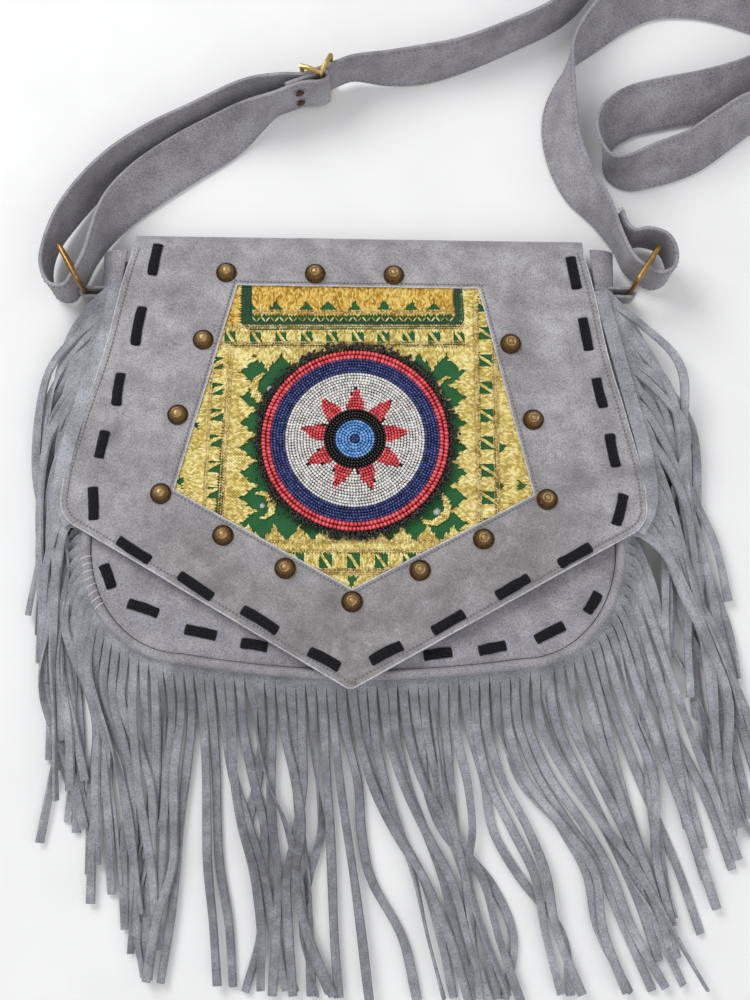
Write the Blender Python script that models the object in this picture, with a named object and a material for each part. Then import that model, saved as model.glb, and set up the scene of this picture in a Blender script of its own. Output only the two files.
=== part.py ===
"""Fringe crossbody bag, lying on its back: suede body, flap with a beaded medallion, fringe and a shoulder strap.

Metres, +Z up. The origin is under the middle of the back panel, on the surface that the bag lies on.
+Y points from the bag's bottom to its fold, and +X to the wearer's right-hand side of the photograph.
"""

import bmesh
import bpy
import numpy as np
from math import atan2, cos, hypot, pi, radians, sin
from mathutils import Matrix, Vector

# Sheets and clearances
SUEDE = 0.0016
LINING_SUEDE = 0.0008
CLOTH = 0.0007
GAP = 0.0003

# Fold and flap
FOLD_Y = 0.108
FOLD_Z = 0.012
FOLD_OUTER_RADIUS = 0.012
BACK_ROLL_END = radians(-15)
FLAP_ROLL_START = radians(-10)
FLAP_SLOPE = radians(4.3)
FLAP_LENGTH = 0.240
FLAP_TOP_HALF = 0.1235
# Places down the flap are shares of its length, from its fold to its point
FLAP_SIDE = ((0.129, 0.0958), (0.1355, 0.2417), (0.145, 0.3875), (0.1525, 0.5125), (0.1545, 0.5917))
FLAP_CORNER_RADIUS = 0.016
FLAP_POINT_RISE = 0.3125
FLAP_OPEN_DEG = 100

# Embroidered patch and its window
WINDOW_TOP_HALF = 0.066
WINDOW_TOP = 0.0854
WINDOW_SIDE_HALF = 0.0951
WINDOW_SIDE = 0.5700
WINDOW_POINT = 0.7858
PATCH_MARGIN = 0.0022
PATCH_THICKNESS = 0.0010

# Beaded medallion: radii of its fields
MEDALLION_DOWN = 0.4492
EDGING_RADIUS = 0.0543
RED_RADIUS = 0.0500
NAVY_RADIUS = 0.0447
WHITE_RADIUS = 0.0367
STAR_TIP_RADIUS = 0.0271
BLACK_RADIUS = 0.0165
BLUE_RADIUS = 0.0106
CENTRE_RADIUS = 0.0024
STAR_POINTS = 9
BACKING_THICKNESS = 0.0008
BEAD_HEIGHT = 0.0015
ROUND_SIDES = 36

# Studs: right-hand places as (half distance, share down the flap), and the three of the top row
STUD_PAIRS = ((0.083, 0.2208), (0.0947, 0.3979), (0.1015, 0.5792), (0.068, 0.6708), (0.035, 0.7417))
STUD_LOWEST = 0.8125
STUD_TOP_ROW = (-0.072, -0.0235, 0.0195)
STUD_TOP_DOWN = 0.0583
STUD_RADIUS = 0.00565
STUD_HEIGHT = 0.0058
STUD_FLAT_RADIUS = 0.0026
STUD_POST_RADIUS = 0.0012
STUD_CAP_RADIUS = 0.0028
STUD_SIDES = 12

# Laces
LACE_WIDTH = 0.0050
LACE_THICKNESS = 0.0009
LACE_STITCH = 0.0180
LACE_SLOT_LENGTH = 0.0034
FLAP_LACE_INSET = 0.0115
FLAP_LACE_SIDE_FIRST = 0.0375
FLAP_LACE_SIDE_PITCH = 0.1354
FLAP_LACE_SIDE_COUNT = 5
FLAP_LACE_POINT_FIRST = 0.021
FLAP_LACE_POINT_PITCH = 0.0385
FLAP_LACE_POINT_COUNT = 4
FRONT_LACE_INSET = 0.0085
FRONT_LACE_FIRST = 0.030
FRONT_LACE_PITCH = 0.034

# Body
BODY_TOP_HALF = 0.1300
BODY_LOW_HALF = 0.1380
BODY_TOP = 0.1030
BODY_CORNER = -0.0550
BODY_CORNER_WIDTH = 0.0500
BODY_BOTTOM_SIDE = -0.1130
BODY_BOTTOM = -0.1200
BACK_OUTSET = 0.0080
GUSSET_BULGE = 0.62
FLAP_TO_FRONT = 0.0034
POUCH_GAP = 0.0014
POUCH_TOP = 0.0990
WELT_RADIUS = 0.0026

# Magnetic snap
SNAP_DOWN = 0.6583
SNAP_RADIUS = 0.0090
SNAP_PLATE = 0.0008
SNAP_POST_RADIUS = 0.0030
SNAP_POST = 0.0011
SNAP_SOCKET_HEIGHT = 0.0016
SNAP_RECESS = 0.0011
SNAP_CLEARANCE = 0.0004

# Fringe
STRAND_PITCH = 0.0053
STRAND_GAP = 0.0006
STRAND_LENGTH = 0.170
FRINGE_FLOOR = 0.0005
FRINGE_OUTSET = 0.0030
FRINGE_BOTTOM_INSET = 0.038
FRINGE_DRIFT_MIDDLE = 0.20
FRINGE_DRIFT_SPREAD = 0.11
# (share of the strand's length, drop, thickness) from the sewn edge to the tips
FRINGE_FALL = (
    (0.0, 0.0, 0.0016), (0.035, 0.002, 0.0020), (0.085, 0.010, 0.0030), (0.17, 0.023, 0.0040),
    (0.5, 0.030, 0.0040), (1.0, 0.030, 0.0035),
)
# Lines across each side fringe, from its sewn end to its tips: (y and distance out of its bag side, y and
# distance out of its far side, top). Distances are from the back panel's edge, or below the corner from the
# body's greatest half width.
SIDE_FRINGE_LEFT = (
    (0.074, 0.0005, 0.074, 0.0185, 0.013), (0.020, 0.0005, 0.020, 0.0278, 0.018), (-0.054, 0.0005, -0.058, 0.0260, 0.022),
    (-0.087, 0.0060, -0.085, 0.0360, 0.020), (-0.124, -0.0240, -0.115, 0.0380, 0.014),
    (-0.160, -0.0395, -0.140, 0.0380, 0.008), (-0.255, -0.0480, -0.180, 0.0320, 0.005),
)
SIDE_FRINGE_RIGHT = (
    (0.078, 0.0005, 0.078, 0.0207, 0.013), (0.020, 0.0005, 0.020, 0.0318, 0.018), (-0.054, 0.0005, -0.058, 0.0530, 0.022),
    (-0.087, 0.0060, -0.085, 0.0670, 0.020), (-0.124, -0.0240, -0.115, 0.0740, 0.014),
    (-0.180, -0.0155, -0.160, 0.0820, 0.008), (-0.285, 0.0180, -0.225, 0.0800, 0.005),
)
SIDE_STRANDS = 10
SIDE_SLIT_ROW = 3

# Strap and its hardware
STRAP_WIDTH = 0.030
STRAP_THICKNESS = 0.0018
STRAP_FLOOR = 0.0006
WIRE_RADIUS = 0.0014
RING_SPAN = 0.0230
RING_INNER_HEIGHT = STRAP_WIDTH + 0.0030
RING_FLOOR = 0.0006
RING_LEFT_TAB = (-0.1500, 0.0850)
RING_LEFT_TURN = radians(120)
RING_RIGHT_TAB = (0.1500, 0.0890)
RING_RIGHT_TURN = radians(58)
RING_SWING_DEG = 5
TAB_THICKNESS = 0.0014
TAB_HEIGHT = 0.0110
SLIDER_PLACE = (-0.024, 0.210)
SLIDER_TURN = radians(22)
SLIDER_BAR_PITCH = 0.0085
SLIDER_PLAY = 0.0013
RIVET_BACK = 0.0135
RIVET_SPREAD = 0.0060
RIVET_RADIUS = 0.0011
RIVET_HEAD_RADIUS = 0.0026
RIVET_HEAD = 0.0008
TAIL_LENGTH = 0.0200
STRAP_LIFT = 0.0034
STRAP_SPACING = 0.012
STRAP_TURN = radians(20)
# Route of the band's middle: (x and y in millimetres, lean from upright in degrees, share of the lift)
STRAP_TO_RING = (
    (-74, 180, -35, 0), (-99, 165, -45, 0), (-119, 150, -42, 0), (-134, 134, -28, 0), (-143, 117, -10, 0.6),
    (-148, 104, 0, 1), (-153.5, 91.5, 0, 1), (-159, 83.5, 0, 1), (-166.5, 84.5, 0, 1), (-171.5, 95, 0, 1),
    (-170, 110, 0, 1), (-161, 130, 8, 0.5), (-142, 155, 12, 0), (-120, 172, 14, 0), (-93, 187, 12, 0),
)
STRAP_TO_END = (
    (14, 219, 15, 0.3), (33, 222, 25, 0), (56, 228, 28, 0), (90, 243, 28, 0), (107, 252, 24, 0), (120, 263, 20, 0),
    (131, 278, 15, 0), (152, 297, 12, 0), (190, 310, 10, 0), (232, 304, 10, 0), (262, 281, 5, 0), (272, 246, 0, 0),
    (262, 216, -10, 0), (240, 202, -20, 0), (219, 196, -30, 0), (203, 185, -35, 0), (186, 173, -35, 0),
    (166, 165, -32, 0), (151, 160, -20, 0), (140, 163, 0, 0), (136, 174, 15, 0), (140, 187, 35, 0), (152, 197, 45, 0),
    (172, 203, 48, 0), (195, 208, 45, 0), (220, 217, 35, 0), (239, 231, 10, 0), (240, 249, -15, 0),
    (222, 263, -40, 0), (193, 272, -50, 0), (165, 270, -48, 0), (146, 259, -40, 0), (130, 243, -25, 0),
    (119, 229, -5, 0), (113.5, 210, 20, 0), (112, 192, 33, 0), (115, 171, 33, 0), (123, 152, 28, 0),
    (134, 136, 14, 0.4), (143, 118, 0, 1), (149.5, 104.5, 0, 1), (156.1, 98.8, 0, 1), (164, 95.5, 0, 1),
    (171, 99, 0, 1), (172.5, 108, 0, 1), (168, 117, 0, 1), (158, 120.5, 0, 1), (150, 119.4, 0, 1),
    (145.4, 122.8, -3, 0.9), (141.6, 130.2, -9, 0.6),
)

SUEDE_GREY = (0.33, 0.32, 0.35)
LACE_BLACK = (0.012, 0.012, 0.013)
ANTIQUE_BRASS = (0.33, 0.21, 0.09)
PALE_BRASS = (0.60, 0.42, 0.16)

FLAP_OUTER_RADIUS = FOLD_OUTER_RADIUS - SUEDE - GAP
PATCH_TOP = -SUEDE - GAP
PATCH_LOW = PATCH_TOP - PATCH_THICKNESS
LINING_TOP = PATCH_LOW - GAP
LINING_LOW = LINING_TOP - LINING_SUEDE
FRONT_TOP = LINING_LOW - FLAP_TO_FRONT
FRONT_LOW = FRONT_TOP - SUEDE


def clear_scene():
    for obj in list(bpy.data.objects):
        bpy.data.objects.remove(obj, do_unlink=True)


def material(name, colour, roughness, metallic=0.0):
    made = bpy.data.materials.get(name)
    if made is None:
        made = bpy.data.materials.new(name)
        made.use_nodes = True
        shader = made.node_tree.nodes["Principled BSDF"]
        shader.inputs["Base Color"].default_value = (*colour, 1.0)
        shader.inputs["Roughness"].default_value = roughness
        shader.inputs["Metallic"].default_value = metallic
    return made


def suede():
    return material("suede", SUEDE_GREY, 0.95)


def antique_brass():
    return material("antique_brass", ANTIQUE_BRASS, 0.4, 1.0)


def link(name, mesh, finish, carrier=None):
    """One piece, with its origin on its carrier's empty, if it has one."""
    obj = bpy.data.objects.new(name, mesh)
    bpy.context.scene.collection.objects.link(obj)
    mesh.materials.clear()
    mesh.materials.append(finish)
    if carrier is not None:
        mesh.transform(Matrix.Translation(-carrier.location))
        obj.parent = carrier
    return obj


def joint_empty(name, place):
    empty = bpy.data.objects.new(name, None)
    empty.location = place
    bpy.context.scene.collection.objects.link(empty)
    return empty


def mesh_of(name, points, faces):
    mesh = bpy.data.meshes.new(name)
    mesh.from_pydata([tuple(p) for p in points], [], faces)
    shape = bmesh.new()
    shape.from_mesh(mesh)
    bmesh.ops.recalc_face_normals(shape, faces=shape.faces)
    shape.to_mesh(mesh)
    shape.free()
    return mesh


def loft(name, sections, ring=False):
    """A closed solid through sections with as many points each. A ring joins its last section to its first."""
    count = len(sections[0])
    points = [p for section in sections for p in section]
    faces = []
    last = len(sections) if ring else len(sections) - 1
    for i in range(last):
        here, there = i * count, (i + 1) % len(sections) * count
        for j in range(count):
            k = (j + 1) % count
            faces.append((here + j, here + k, there + k, there + j))
    if not ring:
        faces.append(tuple(range(count)))
        faces.append(tuple(range(len(points) - count, len(points))))
    return mesh_of(name, points, faces)


def sheet(name, outlines, low, high, place, cuts=()):
    """A sheet cut to its outlines between two depths, split along its cuts, then put in place point by point."""
    curve = bpy.data.curves.new(name, "CURVE")
    curve.dimensions = "2D"
    curve.fill_mode = "BOTH"
    curve.extrude = (high - low) / 2
    for outline in outlines:
        spline = curve.splines.new("POLY")
        spline.points.add(len(outline) - 1)
        for point, (x, y) in zip(spline.points, outline):
            point.co = (x, y, 0.0, 1.0)
        spline.use_cyclic_u = True
    flat = bpy.data.objects.new(name + "_flat", curve)
    bpy.context.scene.collection.objects.link(flat)
    mesh = bpy.data.meshes.new_from_object(flat)
    bpy.data.objects.remove(flat, do_unlink=True)
    shape = bmesh.new()
    shape.from_mesh(mesh)
    bmesh.ops.remove_doubles(shape, verts=shape.verts, dist=1e-6)
    for along in cuts:
        geometry = shape.verts[:] + shape.edges[:] + shape.faces[:]
        bmesh.ops.bisect_plane(shape, geom=geometry, dist=1e-7, plane_co=(0, along, 0), plane_no=(0, 1, 0))
    middle = (low + high) / 2
    for vert in shape.verts:
        vert.co = place(vert.co.x, vert.co.y, vert.co.z + middle)
    bmesh.ops.recalc_face_normals(shape, faces=shape.faces)
    shape.to_mesh(mesh)
    shape.free()
    mesh.name = name
    return mesh


def on_flap(x, up, depth):
    """A point of the flap: up is minus the distance below the fold's end, and depth is 0 on the outer face."""
    radius = FLAP_OUTER_RADIUS + depth
    if up <= 0:
        start = Vector((0, FOLD_Y + radius * sin(FLAP_SLOPE), FOLD_Z + radius * cos(FLAP_SLOPE)))
        along = Vector((0, cos(FLAP_SLOPE), -sin(FLAP_SLOPE)))
        return Vector((x, 0, 0)) + start + along * up
    angle = pi / 2 - FLAP_SLOPE - up / FLAP_OUTER_RADIUS
    return Vector((x, FOLD_Y + radius * cos(angle), FOLD_Z + radius * sin(angle)))


def on_back(x, y, depth):
    """A point of the back panel: flat up to the fold's middle, then rolled up. Depth is 0 on the outer face."""
    if y <= FOLD_Y:
        return Vector((x, y, depth))
    radius = FOLD_OUTER_RADIUS - depth
    angle = -pi / 2 + (y - FOLD_Y) / FOLD_OUTER_RADIUS
    return Vector((x, FOLD_Y + radius * cos(angle), FOLD_Z + radius * sin(angle)))


def flap_surface(y):
    """Height of the flap's outer face above a place on the surface below."""
    start = on_flap(0, 0, 0)
    return start.z + (start.y - y) * np.tan(FLAP_SLOPE)


def body_height(y, depth):
    """Height of a layer that lies a depth under the flap's outer face."""
    return flap_surface(y) + depth / cos(FLAP_SLOPE)


def both_sides(right):
    """A closed outline from its right-hand half, which runs from the top to the bottom."""
    return right + [(-x, y) for x, y in reversed(right) if x > 1e-6]


def arc(centre, radius, start, end, steps):
    return [
        (centre[0] + radius * cos(a), centre[1] + radius * sin(a))
        for a in np.linspace(start, end, steps)
    ]


def circle(centre, radius, sides):
    return arc(centre, radius, 0, 2 * pi * (1 - 1 / sides), sides)


def flap_half():
    """The right-hand edge of the flap, from its fold to its point, as (x, up)."""
    lowest_side = FLAP_SIDE[-1]
    slope = atan2(FLAP_POINT_RISE * FLAP_LENGTH, lowest_side[0] - FLAP_CORNER_RADIUS)
    radius = FLAP_CORNER_RADIUS
    centre = (lowest_side[0] - radius, -lowest_side[1] * FLAP_LENGTH)
    corner = arc(centre, radius, 0, -(pi / 2 - slope), 5)
    return [(FLAP_TOP_HALF, 0.0)] + [(x, -down * FLAP_LENGTH) for x, down in FLAP_SIDE[:-1]] + corner + [(0.0, -FLAP_LENGTH)]


def inset_line(points, inset):
    """The same open line, moved to the right of its direction of travel."""
    line = np.array(points)
    step = np.gradient(line, axis=0)
    step /= np.linalg.norm(step, axis=1)[:, None]
    return line + inset * np.stack([step[:, 1], -step[:, 0]], axis=1)


def resampled(points, spacing):
    """Points at even steps along an open line."""
    line = np.array(points, float)
    run = np.concatenate([[0], np.cumsum(np.linalg.norm(np.diff(line, axis=0), axis=1))])
    count = max(2, int(round(run[-1] / spacing)) + 1)
    at = np.linspace(0, run[-1], count)
    return np.stack([np.interp(at, run, line[:, k]) for k in range(line.shape[1])], axis=1), run[-1]


def point_at(points, distance):
    """(place, direction) at a distance along an open line."""
    line = np.array(points, float)
    steps = np.linalg.norm(np.diff(line, axis=0), axis=1)
    run = np.concatenate([[0], np.cumsum(steps)])
    place = np.array([np.interp(distance, run, line[:, k]) for k in range(2)])
    index = min(len(steps) - 1, max(0, int(np.searchsorted(run, distance)) - 1))
    return place, (line[index + 1] - line[index]) / steps[index]


def flap_lace_stitches():
    """(place, direction) of each outer stitch of the flap's lace, from the left top round to the right top."""
    side = inset_line([(x, y) for x, y in flap_half()[:-1]], FLAP_LACE_INSET)
    right = []
    for i in range(FLAP_LACE_SIDE_COUNT):
        right.append(point_at(side, (FLAP_LACE_SIDE_FIRST + i * FLAP_LACE_SIDE_PITCH) * FLAP_LENGTH))
    corner = np.array(flap_half()[-2])
    tip = np.array(flap_half()[-1])
    to_tip = (tip - corner) / np.linalg.norm(tip - corner)
    inward = np.array([to_tip[1], -to_tip[0]])
    lowered = FLAP_LACE_INSET / abs(to_tip[0])
    start = np.array([0.0, tip[1] + lowered])
    point_side = []
    for i in range(FLAP_LACE_POINT_COUNT):
        away = FLAP_LACE_POINT_FIRST + i * FLAP_LACE_POINT_PITCH
        point_side.append((start - to_tip * away, to_tip))
    right += reversed(point_side)
    assert inward[0] < 0
    left = [(np.array([-p[0], p[1]]), np.array([-d[0], d[1]])) for p, d in right]
    return left + [(p, -d) for p, d in reversed(right)]


def body_half(outset=0.0):
    """The right-hand edge of the body, from the mouth to the bottom's middle, as (x, y)."""
    points = [(BODY_TOP_HALF, BODY_TOP)]
    for i in range(1, 4):
        share = i / 3
        points.append((BODY_TOP_HALF + (BODY_LOW_HALF - BODY_TOP_HALF) * share, BODY_TOP + (BODY_CORNER - BODY_TOP) * share))
    centre = (BODY_LOW_HALF - BODY_CORNER_WIDTH, BODY_CORNER)
    drop = BODY_CORNER - BODY_BOTTOM_SIDE
    for angle in np.linspace(0, -pi / 2, 8)[1:]:
        points.append((centre[0] + BODY_CORNER_WIDTH * cos(angle), centre[1] + drop * sin(angle)))
    for share in (0.75, 0.5, 0.25, 0.0):
        sag = (BODY_BOTTOM - BODY_BOTTOM_SIDE) * (1 - share * share)
        points.append((centre[0] * share, BODY_BOTTOM_SIDE + sag))
    if not outset:
        return points
    moved = inset_line(points, -outset)
    moved[0, 1] = points[0][1]
    moved[-1, 0] = 0.0
    return [tuple(p) for p in moved]


def front_lace_stitches():
    """(place, direction) of each outer stitch of the front panel's lace, from the left top round to the right top."""
    half = body_half(-FRONT_LACE_INSET)
    edge = [(-x, y) for x, y in half] + [(x, y) for x, y in reversed(half[:-1])]
    length = resampled(edge, 0.01)[1]
    half_count = int((length / 2 - FRONT_LACE_FIRST) / FRONT_LACE_PITCH)
    places = []
    for i in range(-half_count, half_count + 1):
        places.append(length / 2 + i * FRONT_LACE_PITCH)
    return [point_at(edge, place) for place in places]


def slots_of(stitches):
    """The slot at each end of each stitch, as four-cornered outlines."""
    half_width = LACE_WIDTH / 2 + GAP
    outlines = []
    for place, along in stitches:
        across = np.array([-along[1], along[0]])
        for side in (-1, 1):
            middle = place + along * side * (LACE_STITCH / 2)
            a, b = along * LACE_SLOT_LENGTH / 2, across * half_width
            outlines.append([tuple(middle + p) for p in (a + b, b - a, -a - b, a - b)])
    return outlines


def lace(name, stitches, top, under, place, finish, carrier=None):
    """One thong: over the panel at each stitch, down through its slots, and under the panel between them."""
    half_width, half = LACE_WIDTH / 2, LACE_THICKNESS / 2
    over, below = top + GAP / 2 + half, under - GAP - half
    plunge = LACE_SLOT_LENGTH / 2 - half - GAP / 2
    stations = []
    for spot, along in stitches:
        end = LACE_STITCH / 2
        for reach, depth in ((-end - plunge, below), (-end + plunge, over), (end - plunge, over), (end + plunge, below)):
            stations.append((spot + along * reach, depth, along))
    sections = []
    for i, (spot, depth, along) in enumerate(stations):
        before = stations[max(0, i - 1)]
        after = stations[min(len(stations) - 1, i + 1)]
        slopes = []
        for a, b in ((before, stations[i]), (stations[i], after)):
            run = np.linalg.norm(b[0] - a[0])
            if run > 0:
                slopes.append(atan2(b[1] - a[1], run))
        tilt = sum(slopes) / len(slopes)
        across = np.array([-along[1], along[0]])
        section = []
        for side, rise in ((-1, -1), (1, -1), (1, 1), (-1, 1)):
            flat = spot + across * side * half_width - along * sin(tilt) * rise * half
            section.append(place(flat[0], flat[1], depth + rise * half * cos(tilt)))
        sections.append(section)
    return link(name, loft(name, sections), finish, carrier)


def window_outline(margin):
    """The window's five corners, moved outwards by a margin."""
    right = [(WINDOW_TOP_HALF, WINDOW_TOP), (WINDOW_SIDE_HALF, WINDOW_SIDE), (0.0, WINDOW_POINT)]
    corners = both_sides([(x, -down * FLAP_LENGTH) for x, down in right])
    if not margin:
        return corners
    moved = []
    for i, corner in enumerate(corners):
        before, after = Vector(corners[i - 1]), Vector(corners[(i + 1) % len(corners)])
        here = Vector(corner)
        into, out = (here - before).normalized(), (after - here).normalized()
        normals = Vector((-into.y, into.x)), Vector((-out.y, out.x))
        mean = (normals[0] + normals[1]).normalized()
        moved.append(tuple(here + mean * margin / mean.dot(normals[0])))
    return moved


def stud_places():
    places = [(x, STUD_TOP_DOWN) for x in STUD_TOP_ROW]
    for x, down in STUD_PAIRS:
        places += [(-x, down), (x, down)]
    places.append((0.0, STUD_LOWEST))
    return [(x, -down * FLAP_LENGTH) for x, down in places]


def make_flap(hinge):
    edge = both_sides(flap_half())
    roll_length = (pi / 2 - FLAP_SLOPE - FLAP_ROLL_START) * FLAP_OUTER_RADIUS
    outline = [(-FLAP_TOP_HALF, roll_length), (FLAP_TOP_HALF, roll_length)] + edge
    cuts = [roll_length * i / 7 for i in range(7)]
    posts = [circle(place, STUD_POST_RADIUS + GAP, 8) for place in stud_places()]
    slots = slots_of(flap_lace_stitches())
    openings = [window_outline(0.0)] + posts + slots
    link("flap_panel", sheet("flap_panel", [outline] + openings, -SUEDE, 0.0, on_flap, cuts), suede(), hinge)
    lining_finish = material("flap_lining_suede", (0.25, 0.24, 0.26), 0.95)
    lining = sheet("flap_lining", [outline], LINING_LOW, LINING_TOP, on_flap, cuts)
    link("flap_lining", lining, lining_finish, hinge)
    gold = material("embroidery_gold", (0.62, 0.47, 0.08), 0.45)
    patch = sheet("embroidered_patch", [window_outline(PATCH_MARGIN)], PATCH_LOW, PATCH_TOP, on_flap)
    link("embroidered_patch", patch, gold, hinge)
    black = material("black_thong", LACE_BLACK, 0.9)
    lace("flap_lace", flap_lace_stitches(), 0.0, -SUEDE, on_flap, black, hinge)


def star_outline(tip_gap):
    """The beaded star: points at its tips and valleys on the black ring's edge."""
    outline = []
    inner, tip = BLACK_RADIUS + GAP, STAR_TIP_RADIUS
    for i in range(STAR_POINTS):
        angle = pi / 2 + 2 * pi * i / STAR_POINTS
        half = pi / STAR_POINTS
        outline.append(((tip + tip_gap) * cos(angle), (tip + tip_gap) * sin(angle)))
        valley = inner + 0.0012 + tip_gap
        outline.append((valley * cos(angle + half), valley * sin(angle + half)))
    return outline


def make_medallion(hinge):
    """A round backing on the patch with a field of beads for each colour."""

    def down(x, y, depth):
        return on_flap(x, y - MEDALLION_DOWN * FLAP_LENGTH, depth)

    backing_low = PATCH_TOP + GAP
    bead_low = backing_low + BACKING_THICKNESS + GAP
    bead_high = bead_low + BEAD_HEIGHT
    centre = (0.0, 0.0)
    half = GAP / 2

    def field(name, outlines, colour):
        glass = material(name + "_glass", colour, 0.15)
        link(name, sheet(name, outlines, bead_low, bead_high, down), glass, hinge)

    def ring(outer, inner):
        return [circle(centre, outer - half, ROUND_SIDES), circle(centre, inner + half, ROUND_SIDES)]

    felt = material("backing_felt", (0.03, 0.03, 0.035), 0.95)
    backing = [circle(centre, RED_RADIUS, ROUND_SIDES)]
    link("medallion_backing", sheet("medallion_backing", backing, backing_low, backing_low + BACKING_THICKNESS, down), felt, hinge)
    field("medallion_edging", ring(EDGING_RADIUS, RED_RADIUS), (0.01, 0.01, 0.012))
    field("bead_ring_red", ring(RED_RADIUS, NAVY_RADIUS), (0.62, 0.05, 0.05))
    field("bead_ring_navy", ring(NAVY_RADIUS, WHITE_RADIUS), (0.03, 0.04, 0.16))
    field("bead_field_white", [circle(centre, WHITE_RADIUS - half, ROUND_SIDES), star_outline(GAP)], (0.75, 0.74, 0.70))
    field("bead_star_red", [star_outline(0.0), circle(centre, BLACK_RADIUS + half, ROUND_SIDES)], (0.62, 0.05, 0.05))
    field("bead_ring_black", ring(BLACK_RADIUS, BLUE_RADIUS), (0.01, 0.01, 0.012))
    field("bead_disc_blue", ring(BLUE_RADIUS, CENTRE_RADIUS), (0.08, 0.26, 0.62))
    field("bead_centre", [circle(centre, CENTRE_RADIUS - half, 12)], (0.01, 0.02, 0.06))


def turned(name, profile, sides, place):
    """A solid turned from (radius, depth) pairs, which run from its lowest point on the axis to its highest."""
    rings = []
    for radius, depth in profile[1:-1]:
        rings.append([place(x, y, depth) for x, y in circle((0.0, 0.0), radius, sides)])
    points = [place(0, 0, profile[0][1])] + [p for r in rings for p in r] + [place(0, 0, profile[-1][1])]
    faces = [(0, 1 + (j + 1) % sides, 1 + j) for j in range(sides)]
    for i in range(len(rings) - 1):
        for j in range(sides):
            a, b = 1 + i * sides + j, 1 + i * sides + (j + 1) % sides
            faces.append((a, b, b + sides, a + sides))
    top = 1 + (len(rings) - 1) * sides
    faces += [(top + j, top + (j + 1) % sides, len(points) - 1) for j in range(sides)]
    return mesh_of(name, points, faces)


def make_studs(hinge):
    cap_top = -SUEDE - GAP
    cap_low = PATCH_LOW + 0.0001
    profile = [
        (0, cap_low), (STUD_CAP_RADIUS, cap_low), (STUD_CAP_RADIUS, cap_top), (STUD_POST_RADIUS, cap_top),
        (STUD_POST_RADIUS, GAP), (STUD_RADIUS, GAP), (STUD_RADIUS, GAP + 0.0007), (0.80 * STUD_RADIUS, 0.0022),
        (1.2 * STUD_FLAT_RADIUS, STUD_HEIGHT - 0.0008), (STUD_FLAT_RADIUS, STUD_HEIGHT), (0, STUD_HEIGHT),
    ]
    for i, (x, up) in enumerate(stud_places()):
        name = f"stud_{i + 1:02d}"
        stud = turned(name, profile, STUD_SIDES, lambda a, b, depth: on_flap(a + x, b + up, depth))
        link(name, stud, antique_brass(), hinge)


def make_snap(hinge):
    plate_top = LINING_LOW - GAP
    plate_low = plate_top - SNAP_PLATE
    socket_low = FRONT_TOP + GAP
    socket_top = socket_low + SNAP_SOCKET_HEIGHT
    recess = socket_top - SNAP_RECESS

    def at_snap(x, y, depth):
        return on_flap(x, y - SNAP_DOWN * FLAP_LENGTH, depth)

    steel = material("snap_brass", ANTIQUE_BRASS, 0.35, 1.0)
    post = [
        (0, plate_low - SNAP_POST), (SNAP_POST_RADIUS, plate_low - SNAP_POST), (SNAP_POST_RADIUS, plate_low),
        (SNAP_RADIUS, plate_low), (SNAP_RADIUS, plate_top), (0, plate_top),
    ]
    link("snap_stud", turned("snap_stud", post, 24, at_snap), steel, hinge)
    hole = SNAP_POST_RADIUS + SNAP_CLEARANCE
    cup = [
        (0, socket_low), (SNAP_RADIUS, socket_low), (SNAP_RADIUS, socket_top), (hole, socket_top),
        (hole, recess), (0, recess),
    ]
    link("snap_socket", turned("snap_socket", cup, 24, at_snap), steel)


def make_body():
    half = body_half()
    front = both_sides(half)
    slots = slots_of(front_lace_stitches())

    def in_front(x, y, depth):
        return Vector((x, y, body_height(y, depth)))

    link("front_panel", sheet("front_panel", [front] + slots, FRONT_LOW, FRONT_TOP, in_front), suede())
    black = material("black_thong", LACE_BLACK, 0.9)
    lace("front_lace", front_lace_stitches(), FRONT_TOP, FRONT_LOW, in_front, black)
    roll = (BACK_ROLL_END + pi / 2) * FOLD_OUTER_RADIUS
    back = [(FLAP_TOP_HALF, FOLD_Y + roll), (FLAP_TOP_HALF, FOLD_Y)] + body_half(BACK_OUTSET)
    cuts = [FOLD_Y + roll * i / 5 for i in range(5)]
    link("back_panel", sheet("back_panel", [both_sides(back)], 0.0, SUEDE, on_back, cuts), suede())
    make_gusset()
    make_pouch()


def wall_path(outset):
    """The body's edge as one open line from the left top round to the right top."""
    half = body_half(outset)
    return [(-x, y) for x, y in half] + [(x, y) for x, y in reversed(half[:-1])]


def make_gusset():
    """A strip that stands on the back panel's edge, leans in to the front panel and bulges a little."""
    low, high = SUEDE + GAP, FRONT_LOW - GAP
    outer_low, outer_high = wall_path(BACK_OUTSET), wall_path(0.0)
    inner_low, inner_high = wall_path(BACK_OUTSET - SUEDE), wall_path(-SUEDE)
    sections = []
    for a, b, c, d in zip(outer_low, outer_high, inner_high, inner_low):
        top, inner_top = body_height(b[1], high), body_height(c[1], high)
        middle = (low + top) / 2
        out = (a[0] * GUSSET_BULGE + b[0] * (1 - GUSSET_BULGE), a[1] * GUSSET_BULGE + b[1] * (1 - GUSSET_BULGE), middle)
        inside = (d[0] * GUSSET_BULGE + c[0] * (1 - GUSSET_BULGE), d[1] * GUSSET_BULGE + c[1] * (1 - GUSSET_BULGE), middle)
        sections.append([(*a, low), out, (*b, top), (*c, inner_top), inside, (*d, low)])
    link("gusset", loft("gusset", sections), suede())


def gusset_reach(y, height):
    """Distance from the middle line to the gusset's outside, up the body's side."""
    low, top = SUEDE + GAP, body_height(y, FRONT_LOW - GAP)
    outset = (BACK_OUTSET, BACK_OUTSET * GUSSET_BULGE, 0.0)
    return edge_half(y) + np.interp(height, (low, (low + top) / 2, top), outset)


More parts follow.
